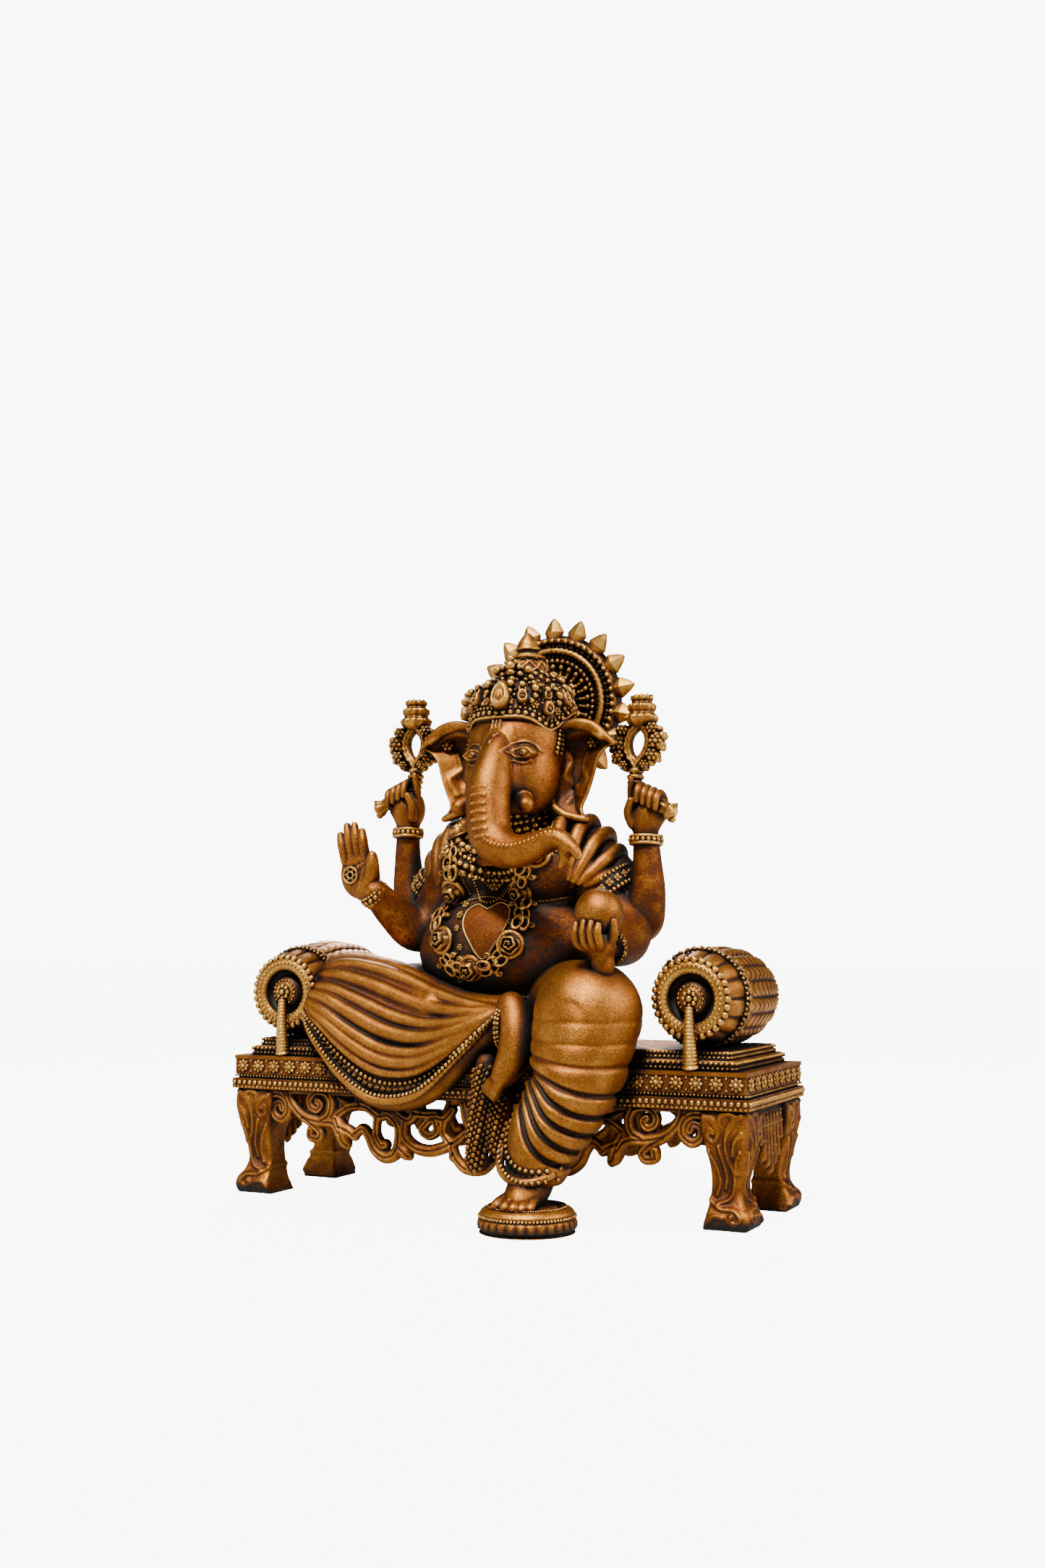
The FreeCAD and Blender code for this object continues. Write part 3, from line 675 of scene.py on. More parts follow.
class Trim:
    """Collects many copies of small shapes into one piece."""

    def __init__(self):
        self.points, self.faces, self.raised, self.count = [], [], [], 0

    def add(self, shape, centres, size, turns=None, stretch=(1, 1, 1)):
        points, faces = shape[0], outward(*shape)
        centres = np.atleast_2d(np.asarray(centres, float))
        size = np.broadcast_to(np.asarray(size, float), len(centres))
        local = points[None] * np.asarray(stretch, float) * size[:, None, None]
        if turns is not None:
            local = np.einsum("nij,nkj->nki", np.broadcast_to(turns, (len(centres), 3, 3)), local)
        height = points[:, 2] if turns is not None else np.full(len(points), 0.6)
        for i in range(len(centres)):
            self.points.append(local[i] + centres[i])
            self.faces.append(faces + self.count)
            self.raised.append(height * 0.25)
            self.count += len(points)

    def mesh(self, points, faces, raised=0.12):
        self.points.append(np.asarray(points, float))
        self.faces.append(outward(self.points[-1], np.asarray(faces)) + self.count)
        self.raised.append(np.full(len(points), raised))
        self.count += len(points)

    def beads(self, path, radius, spacing=None):
        """A row of beads along a path."""
        self.add(BALL, evenly(path, spacing or radius * 2.1)[0][:, :3], radius)

    def tube(self, path, radius=None, sides=8, raised=0.12, twist=0.0, lobes=0, lobe_depth=0.3):
        """A round or lobed tube with closed ends along an (x, y, z) or (x, y, z, radius) path."""
        path = np.asarray(path, float)
        radii = path[:, 3] if radius is None else np.full(len(path), float(radius))
        ahead = np.gradient(path[:, :3], axis=0)
        ahead /= np.linalg.norm(ahead, axis=1)[:, None] + 1e-9
        side = np.cross(ahead[0], [0.3, 0.5, 0.8])
        rows = []
        travelled = 0.0
        for i, (p, w) in enumerate(zip(path[:, :3], ahead)):
            side = unit(side - (side @ w) * w)
            other = np.cross(w, side)
            if i:
                travelled += np.linalg.norm(p - path[i - 1, :3])
            turn = 2 * math.pi * np.arange(sides) / sides
            bulge = 1 + lobe_depth * np.cos(lobes
                                        * (turn + travelled * twist)) if lobes else np.ones(sides)
            r = radii[i] * bulge
            rows.append(p + (r * np.cos(turn))[:, None] * side + (r * np.sin(turn))[:, None] * other)
        first = path[0, :3] + (rows[0] - path[0, :3]) * 0.02 - ahead[0] * radii[0] * 0.6
        last = path[-1, :3] + (rows[-1] - path[-1, :3]) * 0.02 + ahead[-1] * radii[-1] * 0.6
        rows = [first] + rows + [last]
        self.mesh(np.vstack(rows), grid_faces(len(rows), sides)[:, ::-1], raised)

    def make(self, name, material, slot, stands_for=()):
        return piece(name, np.vstack(self.points), np.vstack(self.faces), material, slot, stands_for,
                     raised=np.concatenate(self.raised))


def engrave(clay, lines, width, depth, low, high, turn=0.0):
    """Grooves (depth below 0 makes ridges) drawn as lines seen from the front, turned about Z by turn."""
    c, s = math.cos(turn), math.sin(turn)
    for line in lines:
        line = np.asarray(line, float)

        def height(x, y, z, line=line):
            across = x * c + y * s
            gap = line_distance(line, across, z)
            return -depth * np.exp(-(gap / width) ** 2)
        clay.swell(low, high, height)


# ================================================================ draped legs
DRAPE_TOP = ((-45.0, -8, 43.0), (-42.0, -11.5, 48.4), (-35, -13, 50.6), (-26, -14, 49.6),
             (-17, -15.5, 47.2),
             (-9, -17.5, 44.6), (0, -20, 42.6), (8.2, -21.0, 41.6))
DRAPE_HEM = ((-45.2, -9, 42.0), (-41.5, -17, 38.2), (-36.4, -20, 33.4), (-29.0, -21.5, 26.8),
             (-20.5, -22.2, 22.6),
             (-10.5, -22.6, 24.0), (-1.5, -22.4, 31.4), (8.2, -21.6, 41.0))


def drape_line(share, bulge=3.4, forward=0.0):
    """One line of the folded leg's cloth, from the knee to the ankle; share runs from thigh to hem."""
    top, hem = spline(DRAPE_TOP, 6), spline(DRAPE_HEM, 6)
    line = top + (hem - top) * share
    along = np.linspace(0, 1, len(line))
    line[:, 1] -= bulge * math.sin(math.pi * min(share, 0.93)) * np.sin(math.pi * along) ** 0.6 + forward
    return line


def with_radius(line, start, middle, end):
    along = np.linspace(0, 1, len(line))
    radius = np.interp(along, (0, 0.5, 1), (start, middle, end))
    return np.column_stack([line, radius])


def make_dhoti_right():
    clay = Clay((-52, -33, 17), (14, 14, 56), 0.21)
    clay.limb((-4, 2, 43.0), (-33.0, -5.5, 42.6), 8.8, 8.0)
    clay.limb((-33, -5.5, 42.6), (-10, -15.5, 41.0), 8.4, 5.0, 3.0)
    for share in np.linspace(0.04, 0.96, 9):
        line = drape_line(share, forward=-4.3)
        clay.sweep(with_radius(line, 1.8, 3.0, 1.6)[::3], 3, blend=2.0)
    folds = ((0.00, 1.6), (0.14, 1.85), (0.30, 1.6), (0.43, 1.75), (0.57, 1.3), (0.665, 1.4),
             (0.765, 0.95))
    for share, size in folds:
        line = drape_line(share, forward=-0.2)
        clay.sweep(with_radius(line, size * 0.5, size, size * 0.62)[::2], 3, blend=0.45)
    clay.sweep(with_radius(drape_line(1.0, forward=0.2), 0.5, 0.85, 0.5)[::2], 3, blend=0.5)
    sculpt("dhoti_right", clay, CLOTH, "cloth_resin", ("dhoti_right",))
    trim = Trim()
    for share, radius, forward in ((0.85, 0.56, 0.75), (0.965, 0.46, 0.55)):
        line = drape_line(share, forward=forward)
        starts = evenly(line, radius * 2.25)[0] - (0, 5, 0)
        met, normal, good = clay.meet(starts, (0, 1, 0.0))
        trim.add(BALL, met[good] + normal[good] * radius * 0.35, radius)
    line = drape_line(0.905, forward=0.6)
    starts = evenly(line, 1.55)[0] - (0, 5, 0)
    met, normal, good = clay.meet(starts, (0, 1, 0.0))
    trim.add(FLOWER4, met[good], 0.72, facing(normal[good]))
    trim.make("dhoti_right_hem", JEWEL, "cloth_resin")


FLOWER4 = flower(4, 0.3, 0.55, 6, 4)
FLOWER6 = flower(6)
FLOWER8 = flower(8)
DROP = badge(drop_outline, lambda share, turn: 0.42 - 0.25 * share ** 2 + 0.10 * np.cos(share * 9.4), 12,
             28)
ROSE = badge(lambda turn: 0.86 + 0.14 * np.abs(np.cos(2.5 * turn)),
             lambda share, turn: 0.62 - 0.34 * share ** 2 + 0.15
             * np.sin(15 * share - turn + 0.6 * np.sin(5 * turn)), 14, 40)

LEG_FOLDS = (   # grooves across the hanging leg, from its inner edge to its outer one
    ((12, 40.6), (22, 40.3), (32, 40.2), (44, 41.5)),
    ((12, 36.8), (22, 36.2), (32, 36.0), (44, 37.4)),
    ((12, 34.2), (20, 32.6), (28, 31.6), (36, 31.8), (44, 34.0)),
    ((12, 31.8), (18, 30.0), (24, 27.4), (30, 26.0), (37, 26.6), (44, 29.5)),
    ((13, 31.0), (17.5, 28.6), (21, 25.2), (26, 22.4), (32, 21.7), (38, 24.0), (44, 28)),
    ((14, 29.6), (16.6, 26.8), (20, 22.0), (25, 18.9), (30, 17.6), (35, 18.4), (40, 21)),
    ((14, 27.0), (15.9, 24.2), (18.6, 19.5), (22.6, 16.0), (27, 14.7), (34, 16.4)),
    ((13, 25), (14.6, 21.6), (16.4, 17.2), (19.6, 13.8), (24, 12.3), (32, 13.6)),
)


def make_dhoti_left():
    clay = Clay((2, -44, 6), (46, 14, 54), 0.22)
    clay.limb((12, 2, 43.0), (28.4, -21.5, 41.6), 9.2, 10.3)
    clay.sweep(((28.2, -22.5, 41.0, 10.4), (27.6, -25.4, 32, 9.5), (25.6, -27.6, 25, 8.6),
                (22.8, -29.0, 18.5, 7.4),
                (20.4, -29.8, 12.4, 5.9)), 6, blend=2.0, inner=1.0)
    clay.block((0, -60, 0), (50, 0, 8.6), carve=True, blend=0.3)
    grooves = [spline(line, 5) for line in LEG_FOLDS]
    window = ((2, -44, 8), (46, -12, 54))
    for number, line in enumerate(grooves):
        depth = (0.10, 0.14, 0.40, 0.75)[number] if number < 4 else 0.95
        engrave(clay, [line], 0.55, depth, *window, turn=math.radians(8))
        engrave(clay, [line], 1.5, depth * 0.55, *window, turn=math.radians(8))
    clay.sweep(((14.6, -33.0, 16, 0.5), (15.2, -35.2, 12.6, 0.7), (17.4, -36.0, 10.4, 0.8),
                (21.4, -36.2, 9.7, 0.8),
                (25.6, -33.6, 11.0, 0.6)), 5, blend=0.6)
    sculpt("dhoti_left", clay, CLOTH, "cloth_resin", ("dhoti_left",))
    trim = Trim()
    edge = spline(((14.6, 27.5), (13.6, 21), (14.2, 16.6), (17.0, 13.2), (21.2, 11.9), (27.0, 12.6)), 10)
    for offset, radius in ((0.0, 0.5), (-2.1, 0.42)):
        row = np.column_stack([edge[:, 0] + offset * 0.35, np.full(len(edge), -48.0),
                               edge[:, 1] + offset])
        starts = evenly(row, radius * 2.3)[0]
        met, normal, good = clay.meet(starts, (0.1, 1, 0))
        trim.add(BALL, met[good] + normal[good] * radius * 0.3, radius)
    trim.make("dhoti_left_hem", JEWEL, "cloth_resin")


def make_feet():
    clay = Clay((10, -44, 3.5), (30, -20, 16), 0.16)
    clay.sweep(((19.4, -29.0, 12, 4.1), (19.5, -30.0, 8.8, 4.0), (19.7, -33.5, 7.2, 3.6),
                (19.9, -36.4, 6.0, 2.8)), 6, blend=0.6)
    for i, (x, y, size) in enumerate(((16.4, -38.8, 1.25), (18.6, -40.0, 1.0), (20.4, -40.2, 0.95),
                                      (22.0, -39.8, 0.88), (23.4, -38.8, 0.8))):
        root = (17.4 + i * 1.35, -35.4, 6.6)
        clay.sweep(((*root, size * 0.9), ((root[0] + x) / 2, (root[1] + y) / 2, 6.3, size * 0.85),
                    (x, y, 5.4, size)), 5, blend=0.45)
    clay.block((0, -60, 0), (40, 0, 4.5), carve=True)
    sculpt("foot_left", clay, SKIN, "skin_resin", ("foot_left",))

    clay = Clay((0, -33, 20), (20, -12, 47), 0.16)
    clay.sweep(((10.4, -20.8, 42.6, 3.0), (12.2, -22.2, 39.0, 3.5), (12.9, -23.4, 34.8, 3.3),
                (12.0, -24.4, 31.0, 2.9),
                (10.6, -25.2, 28.6, 2.1)), 6, blend=0.6)
    for i in range(5):
        root = np.array((12.6 - i * 0.95, -25.3 + i * 0.35, 29.4 - i * 0.2))
        tip = root + (-3.4 + i * 0.25, -0.6, -4.6 + i * 0.45)
        size = 1.1 - 0.09 * i
        clay.sweep(((*root, size), (*((root + tip) / 2 + (0, -0.7, 0.3)), size * 0.85),
                    (*tip, size * 0.95)), 5, blend=0.4)
    sculpt("foot_right", clay, SKIN, "skin_resin", ("foot_right",))
    trim = Trim()
    for radius, drop in ((0.48, 0.0), (0.42, 1.0)):
        turn = np.linspace(0, 2 * math.pi, 40)
        path = np.stack([8.6 + 0.5 * np.cos(turn) + drop * 0.6, -21.6 - 4.0 * np.cos(turn),
                         38.4 + 4.2 * np.sin(turn)], 1)
        trim.beads(path, radius)
    trim.make("anklet_right", JEWEL, "ornament_resin", ("anklet_right",))


STOOL = ((0.0, 5.0), (5.2, 5.0), (6.0, 4.6), (7.0, 4.9), (8.3, 4.75), (9.1, 4.1), (9.25, 3.4), (8.9, 3.0),
         (9.3, 2.9),
         (9.6, 2.2), (9.6, 1.2), (9.3, 0.8), (8.8, 0.7), (8.9, 0.35), (8.7, 0.02), (0.0, 0.02))


def turned(profile, centre, axis=(0, 0, 1), sides=96, per_span=4, wave=None):
    """A lathe shape: (radius, height) points smoothed a little and turned about axis.
    wave(angle, share of the profile) is added to the radius."""
    line = np.array(profile, float)
    if per_span > 1:
        line = spline(line, per_span)
    line[:, 0] = np.maximum(line[:, 0], 0.02)
    turn = 2 * math.pi * np.arange(sides) / sides
    share = np.linspace(0, 1, len(line))
    radius = line[:, :1] + (wave(turn[None, :], share[:, None]) if wave else 0)
    points = np.stack([radius * np.cos(turn), radius * np.sin(turn), np.repeat(line[:, 1:2], sides, 1)],
                      2)
    basis = facing([axis])[0]
    return points.reshape(-1, 3) @ basis.T + np.array(centre), grid_faces(len(line), sides)


def make_footstool():
    low, high = node_box("footstool")
    centre = ((low[0] + high[0]) / 2, (low[1] + high[1]) / 2, 0)
    petals = 30

    def wave(turn, share):
        band = np.exp(-((share - 0.66) / 0.09) ** 2)
        return 0.35 * band * (np.abs(np.cos(petals / 2 * turn)) - 0.6)
    points, faces = turned(STOOL, centre, wave=wave, sides=240)
    piece("footstool", points, faces, SKIN, "settee_resin", ("footstool",))
    trim = Trim()
    for radius, height, size in ((9.35, 3.25, 0.34), (7.6, 4.95, 0.22)):
        turn = np.linspace(0, 2 * math.pi, 120)
        ring = np.stack([centre[0] + radius * np.cos(turn), centre[1] + radius * np.sin(turn),
                         np.full(120, height)], 1)
        trim.beads(ring, size)
    trim.make("footstool_beads", JEWEL, "settee_resin")


# ================================================================ settee
LEG_OUTER = ((0.9, 0), (0.5, 0.8), (0.2, 2.2), (0.6, 3.8), (1.6, 5.2), (2.3, 7.4), (2.2, 9.6),
             (1.5, 12.5),
             (0.6, 16.5), (0.1, 20), (0.4, 23.4))
LEG_INNER = ((10.2, 23.4), (9.8, 19), (8.9, 15), (8.4, 11), (8.7, 6), (9.3, 2.2), (9.9, 0.6), (9.8, 0))
LEG_LEAF = (    # raised lines of the acanthus scrolls on each face of a leg, from its outer edge
    ((1.4, 22.4), (3.4, 20.8), (4.7, 17.6), (4.5, 14.2), (3.6, 11.6), (3.5, 9.0), (4.4, 6.4), (6.6, 5.4)),
    ((9.0, 21.8), (7.2, 21.2), (6.2, 18.8), (7.1, 17.2), (8.3, 18.0), (7.9, 19.3), (7.2, 19.0)),
    ((1.5, 18.8), (3.0, 17.2), (3.4, 14.8)), ((2.0, 15.2), (2.9, 13.4), (2.9, 11.2)),
    ((2.6, 21.9), (3.9, 22.6), (5.6, 22.2), (6.0, 20.8)),
    ((6.2, 16.2), (5.5, 13.6), (4.9, 10.8), (5.3, 8.2)),
    ((8.3, 15.2), (6.9, 12.6), (6.3, 9.6), (7.0, 7.0)),
    ((8.4, 6.0), (6.2, 4.6), (3.4, 4.4), (2.0, 3.0), (2.8, 1.7), (4.2, 2.2), (3.8, 3.1)),
    ((5.6, 2.9), (7.4, 3.0), (8.8, 1.6)),
)


def mirror_x(points, faces):
    return points * (-1, 1, 1), faces[:, ::-1]


def mirror_y(points, faces):
    return points * (1, -1, 1), faces[:, ::-1]


def make_legs():
    """One cabriole leg, cut by the same outline from the front and from the side, and its mirror images."""
    corner = node_box("leg_front_right")[0]
    clay = Clay((-0.6, -0.6, -0.4), (11.2, 11.2, 24), 0.13)
    outer, inner = spline(LEG_OUTER, 4), spline(LEG_INNER, 4)
    outline = np.vstack([outer, inner])

    def distance(x, y, z):
        front = polygon_distance(outline, x[:, 0, :], z[0, :, :])[:, None, :]
        side = polygon_distance(outline, y[0, :, :], z[0, :, :])[None, :, :]
        return -soft_min(-front, -side, 1.0)
    clay.press((0, 0, 0), (11, 11, 24), distance)
    for line in LEG_LEAF:
        path = spline(line, 5)

        def height(x, y, z):
            front = line_distance(path, x, z)
            side = line_distance(path, y, z)
            return 0.55 * (np.exp(-(front / 0.48) ** 2) * (y < x) + np.exp(-(side / 0.48) ** 2)
                           * (x <= y))
        clay.swell((0, 0, 0), (11, 11, 23), height)
    clay.block((0, 0, -2), (12, 12, 0.02), carve=True)
    points, faces = clay.mesh()
    points = points + (corner[0], corner[1], 0)
    at_front_left = mirror_x(points, faces)
    for name, shape in (("leg_front_right", (points, faces)), ("leg_front_left", at_front_left),
                        ("leg_back_right", mirror_y(points, faces)),
                        ("leg_back_left", mirror_y(*at_front_left))):
        piece(name, *shape, CARVED, "settee_resin", (name,))


# strokes of the long apron's scrollwork, outer end first, as (x, z, radius); the other half mirrors them
SCROLLS = (
    ((-51.4, 21.8, 0.9), (-48.6, 22.2, 0.9), (-46.4, 20.6, 0.95), (-46.2, 18.2, 0.95), (-48.0, 16.7, 0.9),
     (-49.9, 17.7, 0.8),
     (-49.9, 19.6, 0.7), (-48.4, 20.2, 0.7), (-47.7, 19.0, 0.9)),
    ((-46.4, 23.4, 0.8), (-45.2, 20.2, 0.9), (-42.4, 17.6, 1.0), (-38.4, 16.6, 1.05), (-34.4, 16.4, 1.1),
     (-32.6, 14.4, 1.0)),
    ((-36.0, 22.8, 0.9), (-38.6, 23.2, 0.7), (-40.6, 21.6, 0.75), (-40.4, 19.8, 0.75),
     (-38.8, 19.0, 0.75), (-37.8, 20.2, 0.7),
     (-38.6, 21.0, 0.85)),
    ((-35.9, 23.0, 0.9), (-34.9, 20.6, 1.0), (-35.6, 18.0, 1.0), (-37.4, 16.9, 0.9)),
    ((-42.2, 17.2, 0.7), (-39.6, 15.8, 0.85), (-37.7, 14.2, 0.85), (-38.4, 12.9, 0.85),
     (-40.3, 13.2, 0.8), (-40.3, 14.6, 0.95)),
    ((-33.6, 17.4, 1.1), (-32.4, 15.0, 1.5), (-31.6, 12.7, 1.2), (-30.8, 11.9, 0.6)),
    ((-32.6, 15.8, 0.9), (-30.4, 14.8, 1.1), (-29.0, 13.8, 0.8)),
    ((-33.4, 18.2, 0.9), (-30.0, 20.2, 0.95), (-26.2, 20.4, 1.0), (-23.0, 18.6, 1.0), (-20.6, 18.9, 0.9),
     (-18.2, 16.8, 1.0),
     (-17.9, 13.4, 1.1), (-18.9, 10.8, 1.1), (-21.4, 9.9, 1.1), (-24.0, 11.4, 1.0), (-25.4, 14.0, 0.95),
     (-27.0, 15.6, 0.9), (-28.9, 14.4, 0.8)),
    ((-23.4, 18.4, 0.8), (-23.7, 15.0, 0.8), (-22.4, 12.6, 0.9), (-21.3, 12.5, 1.0)),
    ((-17.8, 12.2, 1.1), (-16.4, 11.2, 1.3), (-15.4, 10.4, 0.6)),
    ((-18.4, 21.2, 0.8), (-15.8, 22.0, 0.9), (-14.2, 19.8, 1.0), (-15.4, 18.0, 0.9), (-17.4, 18.6, 0.9),
     (-19.6, 20.2, 0.8)),
    ((-16.6, 17.6, 0.9), (-16.4, 14.4, 1.0), (-13.8, 12.3, 1.05), (-10.6, 11.8, 1.05), (-7.4, 12.6, 1.05),
     (-4.9, 13.8, 0.9)),
    ((-9.6, 18.8, 0.8), (-8.7, 16.2, 0.8), (-10.6, 14.9, 0.75), (-12.3, 16.0, 0.85), (-11.5, 17.4, 0.8),
     (-9.6, 18.8, 0.8), (-6.8, 18.6, 0.9),
     (-5.0, 20.6, 0.8)),
    ((-14.4, 19.6, 0.8), (-11.4, 19.4, 0.9), (-9.0, 19.6, 0.8)),
    ((-7.0, 18.4, 0.9), (-7.2, 15.6, 0.8), (-5.4, 13.4, 0.9), (-4.4, 11.0, 0.9), (-2.4, 8.9, 0.95),
     (0.0, 8.35, 1.0)),
    ((-5.0, 13.6, 0.8), (-3.4, 14.6, 0.8), (-1.6, 15.9, 0.7), (0.0, 14.4, 0.8)),
    ((-4.6, 11.6, 0.7), (-4.9, 10.9, 0.9)),
    ((-2.4, 22.5, 1.0), (-1.4, 18.6, 1.1), (0.0, 16.8, 1.1)),
    ((-12.6, 23, 0.7), (-12.6, 19.6, 0.7)),
    ((-28.4, 22.9, 0.7), (-27.6, 20.6, 0.8)), ((-22.8, 23.0, 0.7), (-22.4, 19.0, 0.8)),
)
LEAVES = (      # small leaf blades on the apron, as (x, z) tip and root
    ((-33.4, 21.8), (-30.4, 20.4)), ((-30.9, 11.4), (-32.4, 15.6)), ((-15.3, 10.0), (-17.4, 13.2)),
    ((-24.6, 22.4), (-26.4, 20.6)),
    ((-6.2, 22.2), (-7.0, 18.8)), ((-17.6, 22.6), (-18.4, 19.6)),
)


def make_long_aprons():
    low, high = node_box("apron_front")
    middle_y = (low[1] + high[1]) / 2 - 0.15
    clay = Clay((-52.6, middle_y - 2.2, 6.6), (1.2, middle_y + 2.2, 24), 0.16)
    for stroke in SCROLLS:
        rows = [(x, middle_y, z, r * 1.22) for x, z, r in stroke]
        clay.sweep(rows, 6, blend=0.35, inner=0.2)
    for tip, root in LEAVES:
        clay.limb((tip[0], middle_y, tip[1]), (root[0], middle_y, root[1]), 0.5, 1.15, blend=0.4)
    clay.block((-52.6, middle_y - 0.9, 22.4), (1.2, middle_y + 0.9, 23.9), 0.3, blend=0.4)
    clay.block((-52.6, middle_y - 3, 23.3), (1.2, middle_y + 3, 26), carve=True)
    clay.block((0.0, middle_y - 3, 0), (5, middle_y + 3, 26), carve=True)
    for stroke in SCROLLS:
        path = spline([(x, z) for x, z, r in stroke], 5)
        engrave(clay, [path], 0.26, 0.34, (-52.6, middle_y - 2.2, 6.6), (1.2, middle_y - 0.2, 24))
    points, faces = clay.mesh()
    points[:, 0] = np.minimum(points[:, 0], 0.0)
    other = mirror_x(points, faces)
    points, faces = np.vstack([points, other[0]]), np.vstack([faces, other[1] + len(points)])
    piece("apron_front", points, faces, CARVED, "settee_resin", ("apron_front",))
    piece("apron_back", *mirror_y(points, faces), CARVED, "settee_resin", ("apron_back",))


def make_short_aprons():
    """Each end of the settee: a carved panel of hanging drops between two beaded bands."""
    low, high = node_box("apron_left")
    clay = Clay((0, -8.0, 8.0), (3.4, 8.0, 24), 0.14)
    clay.block((0.9, -8, 17.5), (1.9, 8, 24.5), 0.2)
    for y, bottom in ((-6.6, 15.2), (-4.4, 12.0), (-2.2, 10.6), (0, 9.2), (2.2, 10.6), (4.4, 12.0),
                      (6.6, 15.2)):
        clay.limb((1.5, y, 21.5), (1.5, y, bottom + 1.8), 0.75, 1.05, 0.3)
        clay.ball((1.5, y, bottom + 1.1), 1.05, 0.2)
        clay.limb((1.5, y, bottom + 0.6), (1.5, y, bottom), 0.7, 0.25, 0.2)
        clay.ring((1.5, y, bottom + 4.2), (0, 0, 1), 0.75, 0.35, 0.15)
        clay.ring((1.5, y, bottom + 6.4), (0, 0, 1), 0.62, 0.32, 0.15)
    for y in np.arange(-5.5, 6, 2.2):
        rows = [(1.9, y + 1.1 * math.cos(t), 20.4 - 1.3 * math.sin(t), 0.34)
                for t in np.linspace(0, math.pi, 5)]
        clay.sweep(rows, 3, blend=0.1)
        clay.ball((2.1, y, 20.9), 0.5, 0.1)
    points, faces = clay.mesh()
    points = points + ((low[0] + high[0]) / 2 - 1.5, 0, 0)
    points[:, 2] = np.minimum(points[:, 2], 23.3)
    piece("apron_left", points, faces, CARVED, "settee_resin", ("apron_left",))
    piece("apron_right", *mirror_x(points, faces), CARVED, "settee_resin", ("apron_right",))


def around(half_x, half_y, z, spacing):
    """Places and outward directions along the sides of a rectangle, evenly spaced on each side."""
    spots, directions = [], []
    for length, fixed, along_x in ((half_x, -half_y, True), (half_x, half_y, True),
                                   (half_y, -half_x, False), (half_y, half_x, False)):
        count = int(round(2 * length / spacing))
        for t in (np.arange(count) + 0.5) / count * 2 * length - length:
            spots.append((t, fixed, z) if along_x else (fixed, t, z))
            directions.append((0, math.copysign(1, fixed), 0) if along_x
                              else (math.copysign(1, fixed), 0, 0))
    return np.array(spots), np.array(directions)


def make_slab():
    half_x, half_y = (slab_high.x - slab_low.x) / 2 / MM, (slab_high.y - slab_low.y) / 2 / MM
    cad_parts["bench_slab"].data.materials.clear()
    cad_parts["bench_slab"].data.materials.append(CARVED)
    trim = Trim()
    frieze, out = around(half_x - 0.55, half_y - 0.55, 28.15, 4.15)
    trim.add(FLOWER8, frieze, 1.75, facing(out), (1, 0.95, 0.62))
    between, out = around(half_x - 0.5 - 2.07, half_y - 0.5 - 2.07, 28.15, 4.15)
    between = between + out * 2.0
    for height in (27.0, 29.3):
        trim.add(BALL, between + (0, 0, height - 28.15), 0.36)
    upper, out = around(half_x - 0.02, half_y - 0.02, 24.55, 1.36)
    trim.add(BALL, upper, 0.56)
    lower, out = around(half_x - 0.15, half_y - 0.15, 23.55, 1.0)
    trim.add(BALL, lower, 0.36)
    rim, out = around(half_x - 0.35, half_y - 0.35, 26.0, 0.8)
    trim.add(BALL, rim, 0.24)
    trim.make("bench_frieze", CARVED, "settee_resin")


def make_mattress():
    low, high = node_box("seat_mattress")
    step = 32.6
    half_x, half_y = high[0], high[1]
    clay = Clay(low - 1, high + 1, 0.3)
    clay.block((low[0] + 0.3, low[1] + 0.3, low[2] - 0.0), (half_x - 0.3, half_y - 0.3, step), 0.5)
    clay.block((low[0] + 1.7, low[1] + 1.7, step - 0.6), (half_x - 1.7, half_y - 1.7, high[2]), 0.7,
               blend=0.2)
    window = (low + (2.5, 2.5, 3), high + 1)

    def quilting(x, y, z):
        along, across = (x + y) / 2.6, (x - y) / 2.6
        seams = np.exp(-(np.sin(along * math.pi / 2) / 0.22) ** 2) + np.exp(
                                        -(np.sin(across * math.pi / 2) / 0.22) ** 2)
        return -0.14 * np.minimum(seams, 1) * (z > high[2] - 0.8)
    clay.swell(*window, quilting)
    clay.block(low - 3, (high[0] + 3, high[1] + 3, low[2] + 0.02), carve=True)
    mattress = sculpt("seat_mattress", clay, CUSHION, "cushion_resin", ("seat_mattress",))
    trim = Trim()
    rows = ((0.25, 30.95, 0.42, 1.0), (0.15, 31.95, 0.46, 1.1), (1.62, 33.0, 0.4, 0.95),
            (1.62, 33.9, 0.34, 0.85))
    for inset, z, radius, spacing in rows:
        trim.add(BALL, around(half_x - inset, half_y - inset, z, spacing)[0], radius)
    trim.make("mattress_beads", CARVED, "cushion_resin")


# ================================================================ bolsters
BOLSTER_CENTRE_Z = 44.6


def bolster_radius(y, half):
    """Radius of the bolster's cloth along its length, before its pleats."""
    share = np.abs(y) / half
    return 10.5 - 2.6 * share ** 2.8


